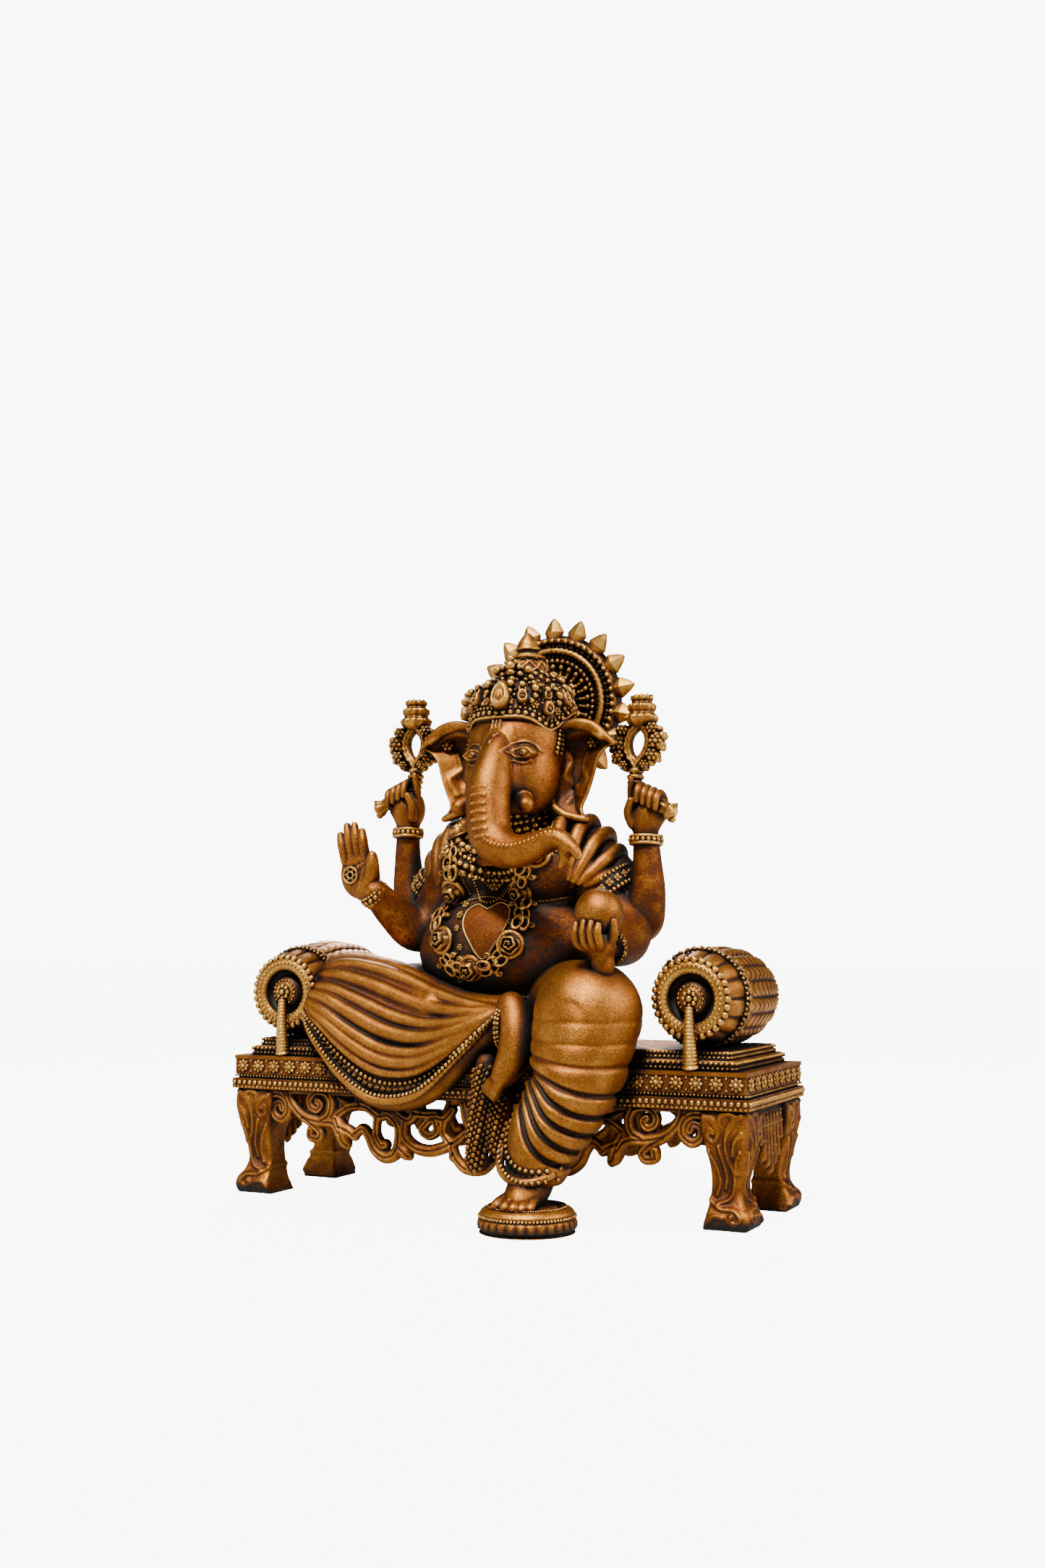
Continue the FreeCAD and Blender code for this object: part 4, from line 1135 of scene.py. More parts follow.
def make_bolster(name, x_middle):
    high = node_box("bolster_" + name)[1]
    half = high[1] - 0.1
    top = high[2] - BOLSTER_CENTRE_Z
    collar = -half + 7.8
    y = np.concatenate([np.linspace(-half, collar - 0.5, 22), np.linspace(collar - 0.4, collar + 0.4, 5),
                        np.linspace(collar + 0.5, half - 1.2, 40), np.linspace(half - 1.1, half, 6)])
    sides = 300
    turn = 2 * math.pi * np.arange(sides) / sides
    rows = []
    for value in y:
        radius = bolster_radius(value, half) / 10.5 * np.interp(value, (collar, collar + 7),
                                        (min(top, 10.2), top))
        if value < collar:
            share = (value + half) / (collar + half)
            puff = math.sin(math.pi * min(max(share, 0), 1)) ** 0.6
            pleats = np.abs(np.sin(7 * turn)) ** 0.45
            radius = radius - 0.35 + puff * (0.85 * pleats - 0.35)
        else:
            share = (value - collar) / (half - collar)
            flutes = np.abs(np.sin(9 * turn)) ** 0.55
            puff = math.sin(math.pi * min(max(share, 0), 1)) ** 0.4
            waves = 0.12 * np.sin(2.4 * value + 5 * np.sin(9 * turn) + 3 * np.sin(4 * turn))
            radius = radius - 0.5 + puff * (0.75 * flutes - 0.25 + waves * 0.8)
        rows.append(np.stack([radius * np.cos(turn), np.full(sides, value), radius * np.sin(turn)], 1))
    dish = ((7.3, -0.35), (6.5, -0.5), (5.7, -0.45), (5.0, -0.2), (4.85, 0.6), (4.7, 1.7), (3.0, 1.9),
            (0.05, 1.9))
    front = [np.stack([r * np.cos(turn), np.full(sides, -half + d), r * np.sin(turn)], 1) for r,
             d in dish]
    back = [np.stack([r * np.cos(turn), np.full(sides, half - d), r * np.sin(turn)], 1) for r, d in dish]
    rows = front[::-1] + rows + back
    points = np.vstack(rows) + (x_middle, 0, BOLSTER_CENTRE_Z)
    cushion = piece("bolster_" + name, points, grid_faces(len(rows), sides), CUSHION, "cushion_resin",
                    ("bolster_" + name,), rounds=12)

    def ring(value, radius, count):
        t = 2 * math.pi * np.arange(count) / count
        return np.stack([x_middle + radius * np.cos(t), np.full(count, value),
                         BOLSTER_CENTRE_Z + radius * np.sin(t)], 1)
    trim = Trim()
    trim.add(BALL, ring(-half + 0.1, 7.6, 30), 0.78)
    trim.add(BALL, ring(-half - 0.35, 6.4, 40), 0.44)
    trim.add(BALL, ring(-half - 0.2, 5.4, 36), 0.32)
    trim.add(BALL, ring(collar, 9.75, 64), 0.42)
    trim.add(FLOWER4, ring(collar - 1.0, 9.95, 40), 0.72,
             facing(ring(0, 1, 40) - (x_middle, 0, BOLSTER_CENTRE_Z)))
    trim.add(BALL, ring(collar - 2.0, 9.8, 60), 0.36)
    trim.add(BALL, ring(half - 0.8, bolster_radius(half - 0.8, half) / 10.5 * top - 0.35, 50), 0.46)
    trim.add(BALL, ring(half + 0.1, 7.0, 34), 0.5)
    trim.make("bolster_beads_" + name, JEWEL, "cushion_resin")
    make_tassel(name, x_middle, -half)


def make_tassel(name, x_middle, front):
    """A domed rosette in the bolster's end and the ribbed tassel that hangs from it."""
    trim = Trim()
    base = (x_middle, front + 1.0, BOLSTER_CENTRE_Z)
    points, faces = turned(((0.02, 1.6), (1.4, 1.4), (2.8, 0.8), (3.4, 0.0), (3.6, -0.8), (0.02, -0.8)),
                           base, (0, -1, 0), 60)
    trim.mesh(points, faces, 0.05)
    t = 2 * math.pi * np.arange(8) / 8
    crown = np.stack([x_middle + 1.25 * np.cos(t), np.full(8, front - 0.65),
                      BOLSTER_CENTRE_Z + 1.25 * np.sin(t)], 1)
    trim.add(BALL, crown, 0.55)
    trim.add(BALL, [(x_middle, front - 0.9, BOLSTER_CENTRE_Z)], 0.7)
    t = 2 * math.pi * np.arange(18) / 18
    rim = np.stack([x_middle + 2.6 * np.cos(t), np.full(18, front + 0.05),
                    BOLSTER_CENTRE_Z + 2.6 * np.sin(t)], 1)
    trim.add(BALL, rim, 0.34)
    z = np.linspace(BOLSTER_CENTRE_Z - 1.6, 31.0, 130)
    share = (BOLSTER_CENTRE_Z - 1.6 - z) / (BOLSTER_CENTRE_Z - 1.6 - 31.0)
    rib = 0.16 * np.abs(np.sin(share * math.pi * 17)) ** 0.6
    radius = 0.72 + 0.75 * share + rib + 0.25 * np.exp(-((share - 1) / 0.03) ** 2)
    path = np.column_stack([np.full(130, x_middle),
                            front - 0.75 - 0.35 * np.sin(math.pi * share) + share * 0.5, z, radius])
    trim.tube(path, sides=20, raised=0.1)
    trim.make("bolster_tassel_" + name, JEWEL, "cushion_resin", ("bolster_tassel_" + name,))


# ================================================================ head
HEAD_X = 2.6
TRUNK = ((2.8, -7.8, 100.4, 2.0), (3.0, -12.9, 95.8, 3.2), (3.2, -16.6, 88.8, 4.45),
         (3.7, -18.2, 82.8, 4.55),
         (4.9, -19.2, 78.0, 4.4), (7.8, -20.2, 75.3, 3.95), (12.0, -21.2, 74.4, 3.35),
         (16.4, -22.0, 75.2, 2.8),
         (20.2, -22.6, 76.6, 2.3), (23.0, -22.9, 76.2, 1.9), (24.6, -22.8, 74.4, 1.5))
EYE_LINES = (   # brow, lids, the fold under the eye and the pupil, as (x, z) on the figure's left
    ((5.2, 95.0), (5.7, 96.8), (7.0, 98.2), (9.0, 98.6), (10.5, 98.0), (11.6, 96.6)),
    ((6.5, 96.0), (7.4, 96.9), (8.7, 97.25), (10.0, 96.9), (10.9, 96.0)),
    ((6.5, 96.0), (7.5, 95.2), (8.7, 95.0), (9.9, 95.2), (10.9, 96.0)),
    ((7.2, 94.3), (8.7, 93.9), (10.1, 94.4)),
    ((8.2, 96.1), (8.7, 96.5), (9.2, 96.1), (8.7, 95.7), (8.2, 96.1)),
)


def on_side(side, rows):
    """Rows as given for the figure's left (side 1), or mirrored to its right (side -1)."""
    rows = np.array(rows, float)
    rows[..., 0] = MIDDLE + side * (rows[..., 0] - MIDDLE)
    return rows


def make_head():
    clay = Clay((-14, -28, 66), (31, 15, 112), 0.17)
    clay.egg((HEAD_X, -1.2, 98.5), (11.2, 11.4, 12.5))
    clay.egg((HEAD_X, -3.6, 90.0), (9.8, 9.4, 8.0), 3.0)
    for side in (-1, 1):
        clay.egg((HEAD_X + side * 5.2, -5.6, 91.0), (4.6, 5.6, 7.4), 2.5)
        clay.egg((HEAD_X + side * 6.2, -10.6, 96.1), (2.4, 1.5, 1.5), 0.8)
    clay.sweep(TRUNK, 8, blend=3.4, inner=0.3)
    path = spline(TRUNK, 8)
    for x, y, z, r in evenly(path[3:34], 1.85)[0]:
        clay.limb((x - 1.5, y - r + 0.22, z), (x + 1.3, y - r + 0.16, z), 0.5, 0.5, blend=0.22)
    rows = evenly(path[33:76], 1.05)[0]
    lift = np.linspace(0.0, 0.8, len(rows))
    for (x, y, z, r), up in zip(rows, lift):
        clay.ball((x, y - r * math.cos(up), z + r * math.sin(up)), 0.34, blend=0.3)
    clay.sweep(((23.6, -22.9, 75.8, 1.5), (25.4, -23.2, 74.6, 1.2), (27.0, -23.5, 72.8, 0.7)), 4,
               blend=0.5)
    clay.sweep(((23.2, -22.8, 75.0, 1.3), (23.6, -22.9, 72.8, 1.0), (22.8, -23.0, 71.0, 0.6)), 4,
               blend=0.4)
    clay.ball((24.9, -24.6, 73.0), 0.8, blend=0.4, carve=True)
    window = ((-12, -16, 90), (17, -5, 106))
    eyes = [spline(line, 6) for line in EYE_LINES]
    engrave(clay, eyes + [line * (-1, 1) + (2 * HEAD_X, 0) for line in eyes], 0.27, -0.3, *window)
    mark = [((1.7, 103.6), (1.7, 100.6), (2.6, 99.8), (3.5, 100.6), (3.5, 103.6)),
            ((2.6, 103.4), (2.6, 100.9)), ((2.6, 98.8), (2.6, 98.2))]
    engrave(clay, mark, 0.38, -0.6, *window)
    sculpt("head", clay, SKIN, "skin_resin", ("head", "trunk"), rounds=10)
    for name, side in (("left", 1), ("right", -1)):
        tusk = Clay((-8, -17, 81), (13, -8, 90), 0.14)
        root, tip = on_side(side, ((8.0, -10.2, 86.8), (10.2, -13.4, 84.7)))
        tusk.limb(root, tip, 1.7, 1.75)
        tusk.ring(root + (tip - root) * 0.3, tip - root, 1.35, 0.7, 0.2)
        sculpt("tusk_" + name, tusk, SKIN, "skin_resin", ("tusk_" + name,))
    return clay


EAR = ((8.0, 101.5), (11.5, 103.2), (15.2, 103.8), (18.6, 103.0), (21.0, 101.2), (23.6, 98.9),
       (21.4, 97.4), (19.8, 95.4),
       (18.8, 92.0), (17.4, 88.0), (16.2, 84.8), (17.4, 82.2), (14.6, 82.5), (11.0, 84.4), (8.8, 87.6),
       (8.4, 94.0))
EAR_FOLDS = (((11.0, 100.2), (15.6, 101.4), (20.6, 99.6)),
             ((10.6, 98.0), (12.8, 95.6), (11.6, 92.2), (13.6, 89.6), (12.4, 86.6)),
             ((15.6, 97.4), (14.6, 94.0), (16.6, 91.4), (15.0, 88.0)))


def make_ears():
    """Each ear is a dished plate with a folded top rim, a flared lobe and a flower stud."""
    for name, side, lift in (("left", 1, -0.3), ("right", -1, 0.9)):
        outline = spline([(MIDDLE + side * x, z + lift) for x, z in EAR], 5, closed=True)
        clay = Clay((outline[:, 0].min() - 2, -6, 79), (outline[:, 0].max() + 2, 5, 107), 0.17)

        def middle(x, z):
            inward = np.clip(-polygon_distance(outline, x, z) / 4.6, 0, 1)
            return -1.8 + 4.0 * inward - 1.2 * np.exp(-((z - 82 - lift) / 3.0) ** 2)
        clay.panel(outline, middle, 0.75, round_by=0.5)
        rim = [(MIDDLE + side * x, -2.4, z + lift - 0.3, r) for (x, z),
               r in zip(EAR[:6], (0.6, 0.7, 0.8, 0.8, 0.7, 0.5))]
        clay.sweep(rim, 6, blend=0.5)
        lobe = [(MIDDLE + side * x, y, z + lift, r) for x, y, z, r in
                ((8.8, -2.6, 88.4, 0.6), (9.4, -3.2, 85.8, 0.7), (12.2, -3.6, 83.6, 0.75),
                 (15.4, -3.6, 82.6, 0.7), (17.6, -3.0, 82.2, 0.5))]
        clay.sweep(lobe, 5, blend=0.5)
        folds = [spline([(MIDDLE + side * x, z + lift) for x, z in line], 5) for line in EAR_FOLDS]
        engrave(clay, folds, 0.95, -0.75, (-22, -5, 80), (27, 0.6, 106))
        sculpt("ear_" + name, clay, EAR_PAINT, "skin_resin", ("ear_" + name,), rounds=10)
        trim = Trim()
        met = clay.meet(on_side(side, [(20.2, -9, 99.2 + lift)]), (0, 1, 0))[0]
        trim.add(FLOWER6, met + (0, -0.5, 0), 1.6, facing(np.array([(0.3, -1.0, 0.1)])), (1, 1, 1.3))
        trim.make("ear_stud_" + name, JEWEL, "ornament_resin")


# ================================================================ crown
def round_spots(clay, centre, turns, heights):
    """Where level lines toward an upright axis first meet the clay; turns are degrees from the front."""
    t = np.radians(np.asarray(turns, float))
    out = np.stack([np.sin(t), -np.cos(t), np.zeros(len(t))], 1)
    starts = np.array([centre[0], centre[1], 0.0]) + out * 26
    starts[:, 2] = heights
    spots, normals, met = clay.meet(starts, -out, 30)
    return spots[met], normals[met]


def brim(turns):
    """Height of the crown's lower edge: high over the brow, low at the temples, high again behind."""
    turns = (np.asarray(turns, float) + 180) % 360 - 180
    return 103.9 + 1.8 * (1 - np.cos(np.radians(turns))) - 3.4 * np.exp(-((np.abs(turns) - 58) / 20) ** 2)


CREST = (       # knobs of the pierced crest over the brow: x and y from its middle, height and radius
    (0, -9.7, 112.4, 0.9), (0, -9.9, 113.8, 1.0), (0, -10.0, 115.3, 1.1), (-1.1, -9.8, 116.1, 0.55),
    (1.1, -9.8, 116.1, 0.55),
    (0, -9.9, 116.9, 0.7), (-2.1, -9.5, 113.4, 0.7), (2.1, -9.5, 113.4, 0.7), (-1.9, -9.6, 115.0, 0.6),
    (1.9, -9.6, 115.0, 0.6),
    (-3.6, -8.8, 114.6, 0.95), (3.6, -8.6, 114.4, 0.95), (-4.2, -8.6, 112.6, 0.7),
    (4.2, -8.6, 112.6, 0.7),
)


def make_crown(head):
    centre = (HEAD_X, 0.6)
    clay = Clay((-12, -14.5, 100), (17.5, 15, 120), 0.22)
    clay.egg((HEAD_X, 0.3, 105.5), (11.9, 12.3, 9.4))
    clay.limb((HEAD_X, 0.8, 104.0), (HEAD_X + 0.3, 2.6, 110.6), 10.4, 6.6, 2.0)

    def below_brim(x, y, z):
        return z + 0.4 - brim(np.degrees(np.arctan2(x - HEAD_X, 0.6 - y)))
    clay.press((-12, -14, 100), (17.5, 15, 109), below_brim, carve=True)
    sculpt("crown_band", clay, CARVED, "ornament_resin", ("crown_band",))
    trim = Trim()
    turns = np.arange(0, 361, 4)
    edge, out = round_spots(clay, centre, turns, brim(turns) + 0.25)
    trim.tube(edge + out * 0.2, 0.45)
    for above, size, count in ((1.15, 0.60, 50), (2.15, 0.36, 76), (5.9, 0.40, 60)):
        turns = np.arange(count) * 360 / count
        at, out = round_spots(clay, centre, turns, brim(turns) + above)
        trim.add(BALL, at + out * 0.25, size)
    turns = np.arange(14) * 360 / 14
    at, out = round_spots(clay, centre, turns[1:], brim(turns[1:]) + 4.1)
    trim.add(DROP, at + out * 0.2, 2.4, facing(out), (1, 1, 1.5))
    at, out = round_spots(clay, centre, [4], [107.9])
    trim.add(DROP, at + out * 0.5, 4.6, facing(out), (0.9, 1, 0.9))
    between = turns + 180 / 14
    at, out = round_spots(clay, centre, between, brim(between) + 3.7)
    trim.add(FLOWER6, at, 1.15, facing(out))
    for above, size, lift in ((5.4, 0.75, 0.7), (6.6, 0.98, 1.4), (7.9, 0.75, 1.0)):
        at, out = round_spots(clay, centre, between, brim(between) + above)
        trim.add(BALL, at + out * lift, size)
    at, out = round_spots(clay, centre, turns[1:], brim(turns[1:]) * 0.4 + 67.6)
    trim.add(DROP, at + out * 0.2, 1.9, facing(out), (1, 1, 1.8))
    trim.add(BALL, at + out * 0.9 + (0, 0, 1.6), 0.72)
    at, out = round_spots(clay, centre, between, brim(between) * 0.4 + 69.6)
    trim.add(DROP, at, 1.3, facing(out), (1, 1, 1.6))
    for x, y, z, size in CREST:
        spot = np.array([HEAD_X + 1.2 + x, 2.2 + y, z + 0.5])
        trim.add(BALL, [spot], size * 1.15)
        trim.tube([spot + (0, 0.2, 0), spot + (-0.1 * x, 2.4, -2.0)], 0.55)
    order = np.arange(330)
    turns, heights = order * 137.5, 106.0 + 9.0 * (order + 0.5) / 330
    at, out = round_spots(clay, centre, turns, heights)
    order = order[:len(at), None]
    trim.add(BALL, at + out * (0.2 + 0.3 * np.sin(order * 1.3)), 0.5 + 0.2 * np.sin(order[:, 0] * 2.3))
    for side in (-1, 1):
        heights = np.arange(96.6, 105.2, 0.98)
        at, out = round_spots(head, centre, side * (64 + (heights - 96.6) * 1.3), heights)
        trim.add(BALL, at + out * 0.2, 0.52)
        at, out = round_spots(head, centre, side * (72 + (heights - 96.6) * 1.0), heights)
        trim.add(BALL, at + out * 0.15, 0.40)
    trim.make("crown_ornament", JEWEL, "ornament_resin")

    low, high = node_box("crown_dome")
    axis_at = ((low[0] + high[0]) / 2, (low[1] + high[1]) / 2, 0)

    def lattice(turn, share):
        a, b = 4.5 * turn + 14 * share, 4.5 * turn - 14 * share
        lines = np.maximum(np.exp(-(np.sin(a) / 0.30) ** 2), np.exp(-(np.sin(b) / 0.30) ** 2))
        return 0.45 * lines * ((share > 0.2) & (share < 0.72))
    points, faces = turned(((0.02, 113.8), (5.4, 113.8), (6.0, 114.2), (5.4, 114.9), (4.9, 115.5),
                            (4.7, 116.6), (4.2, 118.0), (3.6, 118.6),
                            (4.0, 119.0), (4.0, 119.5), (3.2, 119.7), (0.02, 119.7)), axis_at, sides=120,
                            per_span=5, wave=lattice)
    piece("crown_dome", points, faces, CARVED, "ornament_resin", ("crown_dome",))
    points, faces = turned(((0.02, 119.2), (3.1, 119.3), (3.4, 119.9), (2.7, 120.3), (2.3, 120.7),
                            (2.8, 121.2), (2.5, 122.0), (2.1, 123.0),
                            (1.2, 124.3), (0.5, 125.0), (0.02, 125.2)), axis_at, sides=48, per_span=4)
    piece("crown_finial", points, faces, SKIN, "ornament_resin", ("crown_finial",))


# ================================================================ halo
HALO_RINGS = ((0.02, -1.4), (15.0, -1.4), (15.5, -0.8), (15.5, 0.6), (15.0, 1.1), (14.2, 1.0),
              (13.7, 0.1), (13.1, 0.1), (12.8, 1.0), (12.3, 1.4),
              (11.7, 1.1), (11.4, 0.2), (10.7, 0.1), (10.4, 0.9), (9.9, 1.1), (9.4, 0.6), (9.1, 0.0),
              (5.4, 0.0), (5.0, 0.9), (4.2, 1.2), (0.02, 1.2))


def petal_mesh():
    """A pointed boat along +X, as flat facets that share no corners."""
    stations = ((0.0, 1.6, 1.4), (1.8, 2.3, 2.0), (3.8, 1.2, 1.1), (4.8, 0.3, 0.3))
    rims = [[(x, w, 0), (x, 0.25 * w, -h), (x, -0.25 * w, -h), (x, -w, 0), (x, 0, h * 0.75)] for x, w,
            h in stations]
    points, faces = [], []
    for near, far in zip(rims[:-1], rims[1:]):
        for i in range(5):
            j = (i + 1) % 5
            faces.append([len(points) + k for k in range(4)])
            points += [near[i], near[j], far[j], far[i]]
    return np.array(points, float), np.array(faces)


def make_halo():
    low, high = node_box("halo_wheel")
    middle = (low + high) / 2
    trim = Trim()
    points, faces = turned(HALO_RINGS, middle, (0, -1, 0), 150, 3)
    trim.mesh(points, faces, 0.02)

    def circle(radius, count, forward, start=0.0):
        t = 2 * math.pi * (np.arange(count) + start) / count
        at = np.stack([middle[0] + radius * np.sin(t), np.full(count, middle[1] - forward),
                       middle[2] + radius * np.cos(t)], 1)
        return at, t
    at, t = circle(14.9, 18, 0.1)
    turns = np.stack([np.stack([np.sin(t), 0 * t, np.cos(t)], 1),
                      np.stack([-np.cos(t), 0 * t, np.sin(t)], 1),
                      np.stack([0 * t, -1 + 0 * t, 0 * t], 1)], 2)
    trim.add(petal_mesh(), at, 1.08, turns)
    for radius, count, forward, size in ((14.7, 54, 1.15, 0.62), (14.7, 54, -1.4, 0.5),
                                        (13.4, 80, 0.5, 0.30), (11.1, 70, 0.5, 0.34),
                                        (10.1, 48, 1.1, 0.50),
                                         (8.7, 26, 0.7, 0.66), (6.7, 26, 0.5, 0.46), (8.0, 30, -1.4, 0.5),
                                        (11.5, 44, -1.4, 0.5)):
        trim.add(BALL, circle(radius, count, forward)[0], size)
    rope = circle(12.3, 121, 1.5)[0]
    trim.tube(np.vstack([rope, rope[:1]]), 0.66, sides=10, twist=2.6, lobes=2)
    for inner, outer, count, forward, size in ((5.2, 9.6, 26, 0.3, 0.42), (12.7, 14.6, 54, 0.5, 0.34)):
        for a, b in zip(circle(inner, count, forward)[0], circle(outer, count, forward)[0]):
            trim.tube([a, b], size, sides=6)
    trim.add(FLOWER8, [middle + (0, 1.3, 0)], 5.0, facing([(0, 1, 0)]))
    wheel = trim.make("halo_wheel", CARVED, "ornament_resin", ("halo_wheel",))
    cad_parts["halo_pin"].data.materials.clear()
    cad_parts["halo_pin"].data.materials.append(CARVED)
    return wheel


# ================================================================ hands and what they hold
FIST_LIFT = {1: -1.4, -1: 1.8}


def make_fists():
    """The two raised hands: each curls four fingers over a bar and lifts the first one along a stem."""
    for name, side in (("left", 1), ("right", -1)):
        lift = FIST_LIFT[side]

        def at(*rows):
            moved = on_side(side, rows)
            moved[:, 2] += lift
            return moved
        corners = at((26, -5, 78), (38, 7, 94))
        clay = Clay(corners.min(0), corners.max(0), 0.14)
        clay.sweep(at((31.5, 1.5, 79.6, 2.5), (31.6, 1.6, 81.6, 2.7), (31.9, 1.7, 83.8, 3.4),
                      (32.2, 1.9, 86.0, 3.3)), 5, inner=0.3)
        clay.sweep(at((29.9, 1.6, 83.0, 2.2), (29.8, 1.6, 86.0, 1.9)), 3, blend=1.2)
        clay.sweep(at((34.2, 1.8, 84.2, 1.7), (34.6, 1.9, 86.6, 1.6)), 3, blend=1.2)
        for i in range(4):
            x, top = 30.9 + i * 1.42, 90.6 - i * 0.62
            clay.sweep(at((x, 3.8, top - 3.6, 0.9), (x, 3.0, top - 1.0, 0.82), (x, 0.9, top, 0.8),
                          (x, -1.4, top - 1.0, 0.76), (x - 0.1, -1.8, top - 3.4, 0.68)),
                       5, blend=0.22, inner=0.2)
        clay.sweep(at((29.0, 1.2, 85.4, 0.9), (28.7, 0.2, 88.6, 0.74), (28.9, -0.2, 92.0, 0.6)), 5,
                   blend=0.25)
        clay.sweep(at((29.3, -0.4, 82.0, 1.0), (28.7, -1.4, 84.6, 0.95), (29.6, -2.2, 87.2, 0.72)), 5,
                   blend=0.3)
        sculpt("hand_upper_" + name, clay, HAND, "skin_resin", ("hand_upper_" + name,))


def make_blessing_hand():
    clay = Clay((-38, -20, 62), (-22, -9, 85), 0.14)
    clay.egg((-29.9, -14.6, 70.8), (4.9, 1.8, 5.6))
    clay.egg((-28.2, -14.7, 68.4), (2.9, 1.9, 3.6), 1.2)
    clay.limb((-28.0, -14.6, 67.4), (-26.2, -14.4, 65.0), 2.3, 2.5, 1.4)
    for root, tip in (((-33.4, 74.0), (-34.9, 80.2)), ((-31.7, 74.8), (-33.2, 82.2)),
                      ((-29.9, 74.8), (-31.3, 82.3)), ((-28.2, 74.2), (-29.3, 80.9))):
        bend = ((root[0] + tip[0]) / 2, (root[1] + tip[1]) / 2)
        clay.sweep(((root[0], -14.9, root[1] - 1, 1.05), (bend[0], -15.4, bend[1], 1.06),
                    (tip[0], -15.0, tip[1] - 0.8, 0.8)), 5, blend=0.18)
    clay.sweep(((-27.2, -15.4, 68.0, 1.5), (-26.0, -16.0, 71.6, 1.45), (-25.9, -16.2, 74.6, 1.05)), 5,
               blend=0.4)
    creases = [spline(line, 4) for line in (((-34, 72.6), (-31, 72.2), (-28.4, 73.4)),
                                            ((-33.4, 71), (-30.4, 70.4), (-28, 72.6)),
                                            ((-29.4, 73.4), (-29.0, 70), (-30.2, 67)))]
    engrave(clay, creases, 0.25, 0.2, (-37, -19, 62), (-23, -14.6, 85))
    sculpt("hand_blessing", clay, HAND, "skin_resin", ("hand_blessing",))
    trim = Trim()
    t = np.linspace(0, 2 * math.pi, 25)
    for radius, thick in ((1.75, 0.30), (0.75, 0.26)):
        trim.tube(np.stack([-31.2 + radius * np.cos(t), np.full(25, -16.65), 70.4 + radius * np.sin(t)],
                           1), thick)
    petals = np.stack([-31.2 + 1.25 * np.cos(t[:-1:4]), np.full(6, -16.5),
                       70.4 + 1.25 * np.sin(t[:-1:4])], 1)
    trim.add(BALL, petals, 0.34)
    trim.make("palm_lotus", JEWEL, "ornament_resin")


def make_sweet_hand():
    low, high = node_box("sweet_ball")
    centre, radius = (low + high) / 2, (high[0] - low[0]) / 2
    clay = Clay((25, -33, 46), (40, -19, 64), 0.14)
    clay.egg((32.4, -26.4, 55.4), (3.5, 3.0, 2.9))
    clay.sweep(((32.6, -25.8, 55.0, 2.5), (32.8, -25.6, 53.0, 1.9), (33.0, -25.4, 50.6, 2.1)), 4,
               blend=0.8)
    for i, (x, top) in enumerate(((29.4, 59.2), (31.0, 59.6), (32.6, 59.5), (34.1, 59.0))):
        clay.sweep(((31.6 + i * 0.55, -27.6, 54.2, 1.0), (x, -29.6, 55.4, 0.86),
                    (x - 0.1, -30.6, 57.4, 0.80), (x - 0.1, -30.3, top, 0.66)),
                   5, blend=0.15, inner=0.15)
    clay.sweep(((34.2, -26.4, 55.0, 1.1), (36.0, -27.6, 57.0, 0.95), (36.2, -27.8, 59.8, 0.78)), 5,
               blend=0.3)
    clay.ball(centre, radius + 0.02, carve=True)
    sculpt("hand_sweet", clay, HAND, "skin_resin", ("hand_sweet",))
    sweet = Clay(low - 1, high + 1, 0.2)
    sweet.ball(centre, radius)
    sculpt("sweet_ball", sweet, SKIN, "ornament_resin", ("sweet_ball",))


def ring_path(centre, axis, radius, count=60):
    basis = facing([axis])[0]
    t = np.linspace(0, 2 * math.pi, count)
    local = np.stack([radius * np.cos(t), radius * np.sin(t), 0 * t], 1)
    return local @ basis.T + np.array(centre, float)


def make_bangles():
    wrists = {"upper_left": ((31.6, 1.5, 77.4), (0, 0.05, 1), 3.3),
              "upper_right": ((-27.2, 1.7, 80.6), (0, 0.05, 1), 3.2),
              "lower_right": ((-26.4, -14.4, 66.2), (-0.36, -0.5, 0.62), 2.9),
              "lower_left": ((32.0, -21.4, 54.6), (0.2, -0.95, -0.1), 3.6)}
    for name, (centre, axis, radius) in wrists.items():
        trim = Trim()
        along = unit(axis)
        if name.startswith("upper"):
            for offset in (-0.75, 0.75):
                trim.tube(ring_path(along * offset + centre, axis, radius), 0.42)
            trim.beads(ring_path(centre, axis, radius + 0.05), 0.55)
        else:
            for offset, size in ((-0.8, 0.42), (0.1, 0.6), (0.95, 0.36)):
                trim.beads(ring_path(along * offset + centre, axis, radius + 0.1), size)
        trim.make("bangle_" + name, JEWEL, "ornament_resin", ("bangle_" + name,))


